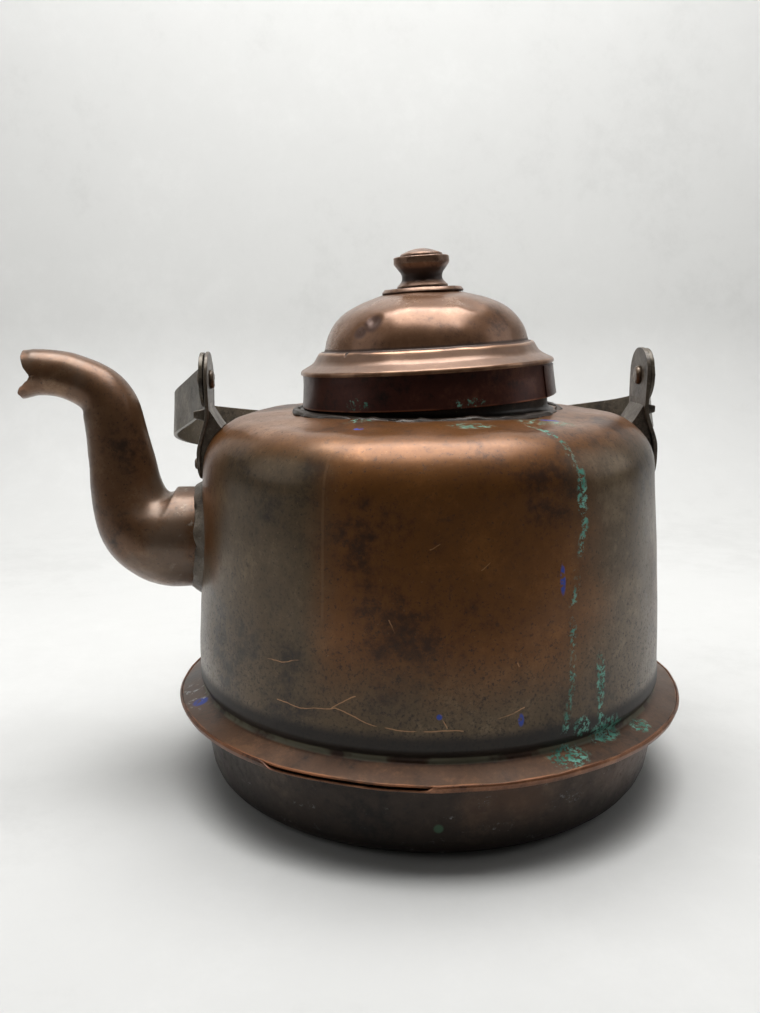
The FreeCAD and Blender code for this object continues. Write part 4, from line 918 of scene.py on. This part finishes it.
f.covered(hem, hem_tone["Color"], metal=0.6, rough=0.4)
spot = f.times(f.use(patch, Flat=flat, Middle=(-7, 18, 125), Reach=(3, 3, 9))["Mask"], 0.7)
f.covered(spot, tone(60, 96, 70), metal=0.0, rough=0.8)
finishes["pan_copper"] = f.close(0.14, 140)

# %% [markdown]
# ## Spout finish
# The spout carries dark specks and dusty patches, and its lip is rubbed bright. Near the
# root, splashed solder leaves pale silvery specks.

# %% Spout finish
f = Finish("spout copper")
f.base(22, (54, 35, 22), (98, 68, 44), (128, 98, 72), 0.28, 0.44)
x, y, z = f.add("SeparateXYZ", f.vector("MULTIPLY", f.place, (1000, 1000, 1000))).outputs
soot = f.use(speckle, Place=f.place, Scale=560, Cover=0.44)["Mask"]
f.covered(f.times(soot, 0.7), tone(32, 22, 15), metal=0.3, rough=0.6)
dusty = f.times(f.ramp(f.noise(f.place, 30, 4), 0.46, 0.62), 0.5)
f.covered(dusty, tone(104, 92, 80), metal=0.4)
tinned = f.times(f.ramp(x, -146, -128), f.use(speckle, Place=f.place, Scale=150,
                                              Cover=0.4)["Mask"])
f.covered(f.times(tinned, 0.6), tone(160, 150, 136), metal=0.6, rough=0.4)
lip = f.math("SUBTRACT", 1.0, f.ramp(x, -215.5, -208.5))
f.covered(f.times(lip, f.ramp(f.noise(f.place, 120, 3), 0.46, 0.6), 0.5), tone(170, 122, 92),
          metal=0.8, rough=0.36)
finishes["spout_copper"] = f.close(0.12, 150)

# %% [markdown]
# ## Lid finishes
# The lid is tilted, so a Mapping node set to *Texture* undoes the tilt: inside the material
# the lid stands upright and its creases are plain heights. The bead above the crease and the
# rim edge carry a painted highlight, the crease itself is darker, the vent is a painted dark
# dot, the knob's waist holds painted shade, and the band below is heated to a dark red.

# %% Lid finishes
def lid_finish(name):
    finish = Finish(name)
    upright = finish.add("Mapping", finish.place, LID_PLACE.translation,
                         (0.0, -LID_TILT, 0.0), vector_type="TEXTURE").outputs[0]
    flat = finish.use(unrolled, Place=upright)["Flat"]
    return finish, upright, flat, finish.add("SeparateXYZ", flat).outputs


f, upright, flat, (arc, height, reach) = lid_finish("lid copper")
f.base(26, (74, 50, 36), (116, 82, 58), (144, 108, 82), 0.24, 0.38)
soot = f.use(speckle, Place=f.place, Scale=600, Cover=0.36)["Mask"]
f.covered(f.times(soot, 0.6), tone(46, 30, 20), metal=0.4, rough=0.55)
dull = f.times(f.band(height, 25.5, 33.0, 1.5), 0.45)
f.covered(dull, tone(120, 98, 84), metal=0.7, rough=0.44)
crease = f.times(f.band(height, 33.4, 35.0, 1.2), f.band(reach, 54.2, 56.4, 1.0))
f.covered(f.times(crease, 0.8), tone(40, 24, 18), metal=0.4, rough=0.6)
# Painted highlight on the bead above the crease and on the top edge of the rim.
bead_rim_highlight = f.most(f.times(f.band(height, 32.6, 34.2, 0.6), f.band(reach, 57.0, 58.2, 0.5)),
                f.times(f.band(height, 22.0, 25.2, 0.8), f.ramp(reach, 67.6, 68.2)))
f.covered(f.times(bead_rim_highlight, f.ramp(f.noise(f.place, 70, 2), 0.36, 0.55), 0.7),
          tone(176, 136, 108), metal=0.8, rough=0.32)
bruise = f.most(f.use(patch, Flat=flat, Middle=(-83, 47.5, 47), Reach=(18, 5.5, 14))["Mask"],
                f.use(patch, Flat=flat, Middle=(-98, 43.5, 50), Reach=(13, 4, 12))["Mask"])
f.covered(f.times(bruise, 0.6), tone(64, 52, 54), metal=0.6)
# The vent hole is not cut: a black dot with a small dip paints the shade inside it.
vent_hole_shade = f.use(patch, Flat=upright, Middle=(-0.0431, -0.0373, 0.0320),
             Reach=(0.0021, 0.0021, 0.0035))["Mask"]
f.covered(vent_hole_shade, tone(6, 4, 3), metal=0.0, rough=1.0, rise=-0.5)
finishes["lid_copper"] = f.close(0.08, 180)

f, upright, flat, (arc, height, reach) = lid_finish("band copper")
f.base(24, (24, 11, 8), (74, 36, 26), (112, 68, 50), 0.26, 0.42)
black = f.use(speckle, Place=f.place, Scale=50, Cover=0.5)["Mask"]
f.covered(f.times(black, 0.6), tone(20, 12, 10), metal=0.5, rough=0.5)
specks = f.use(speckle, Place=f.place, Scale=560, Cover=0.4)["Mask"]
f.covered(f.times(specks, 0.5), tone(28, 18, 14), rough=0.55)
green = f.use(crust, Place=f.place, Area=f.most(
    f.use(patch, Flat=flat, Middle=(-80, 9, 68), Reach=(16, 4, 6))["Mask"],
    f.use(patch, Flat=flat, Middle=(25, 7.5, 68), Reach=(20, 3.5, 6))["Mask"]), Cover=0.3)
f.covered(f.times(green["Mask"], 0.75), green["Color"], metal=0.0, rough=0.9, rise=0.08)
lower = f.times(f.math("SUBTRACT", 1.0, f.ramp(height, 5.6, 6.6)),
                f.ramp(f.noise(f.place, 60, 2), 0.36, 0.55))
f.covered(f.times(lower, 0.8), tone(168, 108, 80), metal=0.95, rough=0.32)
finishes["band_copper"] = f.close(0.08, 170)

f, upright, flat, (arc, height, reach) = lid_finish("knob copper")
f.base(40, (70, 46, 32), (128, 96, 74), (162, 130, 104), 0.28, 0.44)
# Painted shade: the waist directly under the knob's upper rim is darkened.
waist_shade = f.times(f.band(height, 69.4, 77.6, 2.2), f.math("SUBTRACT", 1.0, f.ramp(reach, 12.2, 14.2)))
f.covered(f.times(waist_shade, 0.9), tone(34, 14, 9), metal=0.4, rough=0.5)
specks = f.use(speckle, Place=f.place, Scale=640, Cover=0.42)["Mask"]
f.covered(f.times(specks, 0.45), tone(50, 34, 26), metal=0.5, rough=0.55)
dirt = f.most(f.times(f.band(height, 64.2, 65.6, 0.4), f.band(reach, 13.4, 14.8, 0.8)),
              f.times(f.band(height, 61.4, 62.9, 0.5), f.ramp(reach, 20.9, 21.6)))
f.covered(f.times(dirt, 0.7), tone(34, 22, 16), metal=0.3, rough=0.7)
finishes["knob_copper"] = f.close(0.07, 300)

# %% [markdown]
# ## Small finishes
# The rest share one recipe: patina, dark specks and a few pale ones. Only the tones differ.
# The straps are almost grey, solder is dull silver under a brown film.

# %% Small finishes
def simple(name, slot, scale, tones, smoothest, dullest, metal, dirt=0.44, pale=None):
    finish = Finish(name)
    finish.metal = metal
    finish.base(scale, *tones, smoothest, dullest)
    specks = finish.use(speckle, Place=finish.place, Scale=600, Cover=dirt)["Mask"]
    finish.covered(finish.times(specks, 0.5), tone(34, 28, 23), rough=0.62)
    if pale:
        spots = finish.use(speckle, Place=finish.vector("ADD", finish.place, (0.2, 0.4, 0.1)),
                           Scale=420, Cover=0.34)["Mask"]
        finish.covered(finish.times(spots, 0.5), tone(*pale), rough=0.5)
    finishes[slot] = finish.close(0.14, 210)


simple("collar copper", "collar_copper", 40, ((20, 15, 11), (48, 37, 28), (84, 66, 50)), 0.4, 0.6,
       0.4, 0.5, (96, 116, 98))
simple("ear metal", "ear_metal", 60, ((44, 39, 33), (86, 76, 64), (118, 106, 92)), 0.36, 0.54,
       0.4, 0.46, (140, 132, 122))
simple("bail metal", "bail_metal", 40, ((46, 40, 32), (84, 75, 61), (116, 104, 88)), 0.34, 0.52,
       0.42, 0.42, (150, 142, 130))
simple("rivet copper", "rivet_copper", 90, ((46, 38, 30), (96, 80, 64), (134, 116, 96)), 0.32,
       0.5, 0.5)
simple("solder", "solder", 70, ((50, 42, 34), (88, 78, 66), (124, 114, 100)), 0.38, 0.6, 0.45,
       0.48, (156, 150, 138))

# %% [markdown]
# ## Dressing the object
# Each new piece gets the finish of its slot. The CAD nodes that stay visible, the solder
# wedges behind the ears and the stem and washer under the knob, get theirs the same way.

# %% Assign
for name, slot in finish_wanted.items():
    bpy.data.objects[name].data.materials.append(finishes[slot])
for node, slot in (("ear_solder_left", "solder"), ("ear_solder_right", "solder"),
                   ("knob_stem", "knob_copper"), ("knob_washer", "knob_copper")):
    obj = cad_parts[node]
    obj.data.materials.clear()
    obj.data.materials.append(finishes[slot])
print("finished pieces", len(finish_wanted))

# %% [markdown]
# ## Floor and backdrop
# A photographer's sweep is one sheet of paper that runs from floor to wall through a large
# curve, so there is no corner behind the object. We extrude a filleted wire sideways. The wall
# stands far enough back for a camera to go right round the kettle in front of it.

# %% Sweep
paper = wire([(-460, 0), (840, 0, 260), (900, 1900)], 900, steps=16)
turn_in = Matrix.Rotation(math.radians(90), 4, "Z")
bmesh.ops.transform(paper, verts=paper.verts, matrix=turn_in)
made = bmesh.ops.extrude_edge_only(paper, edges=paper.edges[:])
far_side = [v for v in made["geom"] if isinstance(v, bmesh.types.BMVert)]
bmesh.ops.translate(paper, verts=paper.verts, vec=(-1.9, 0, 0))
bmesh.ops.translate(paper, verts=far_side, vec=(3.8, 0, 0))
bmesh.ops.recalc_face_normals(paper, faces=paper.faces)
if min(paper.faces, key=lambda face: face.calc_center_median().z).normal.z < 0:
    bmesh.ops.reverse_faces(paper, faces=paper.faces)
mesh = bpy.data.meshes.new("sweep")
paper.to_mesh(mesh)
paper.free()
for face in mesh.polygons:
    face.use_smooth = True
sweep = bpy.data.objects.new("sweep", mesh)
bpy.context.scene.collection.objects.link(sweep)
f = Finish("paper")
f.metal, f.coat = 0.0, 0.0
f.base(3, (196, 196, 194), (202, 202, 200), (206, 206, 204), 0.75, 0.8)
mesh.materials.append(f.close(0.02, 60))
print("sweep faces", len(mesh.polygons))

# %% [markdown]
# ## Light
# Copper shows its shape by what it mirrors. A large soft panel overhead draws the highlight
# along the shoulder and dome, two side panels lighten the flanks, a strip washes the wall
# behind, and the space in front stays dim, so the middle of the kettle reads dark and warm.

# %% Lights
def panel(name, place, aim, power, width, height, tint=(1.0, 1.0, 1.0)):
    lamp = bpy.data.lights.new(name, "AREA")
    lamp.shape = "RECTANGLE"
    lamp.energy, lamp.size, lamp.size_y, lamp.color = power, width, height, tint
    obj = bpy.data.objects.new(name, lamp)
    obj.location = place
    obj.rotation_euler = (Vector(aim) - Vector(place)).to_track_quat("-Z", "Y").to_euler()
    bpy.context.scene.collection.objects.link(obj)


panel("overhead", (0.0, 0.05, 1.4), (0, 0.14, 0.1), 27, 1.2, 0.9)
panel("left", (-1.25, -0.15, 0.75), (0, 0, 0.12), 1.8, 0.9, 0.9)
panel("right", (1.35, 0.05, 0.8), (0, 0, 0.12), 2.4, 0.8, 0.9)
panel("wall wash", (0.0, 0.30, 1.55), (0, 0.87, 0.75), 7, 1.6, 0.3)
world = bpy.data.worlds.new("dim room")
bpy.context.scene.world = world
world.use_nodes = True
world.node_tree.nodes["Background"].inputs["Color"].default_value = tone(150, 150, 148)
world.node_tree.nodes["Background"].inputs["Strength"].default_value = 0.16
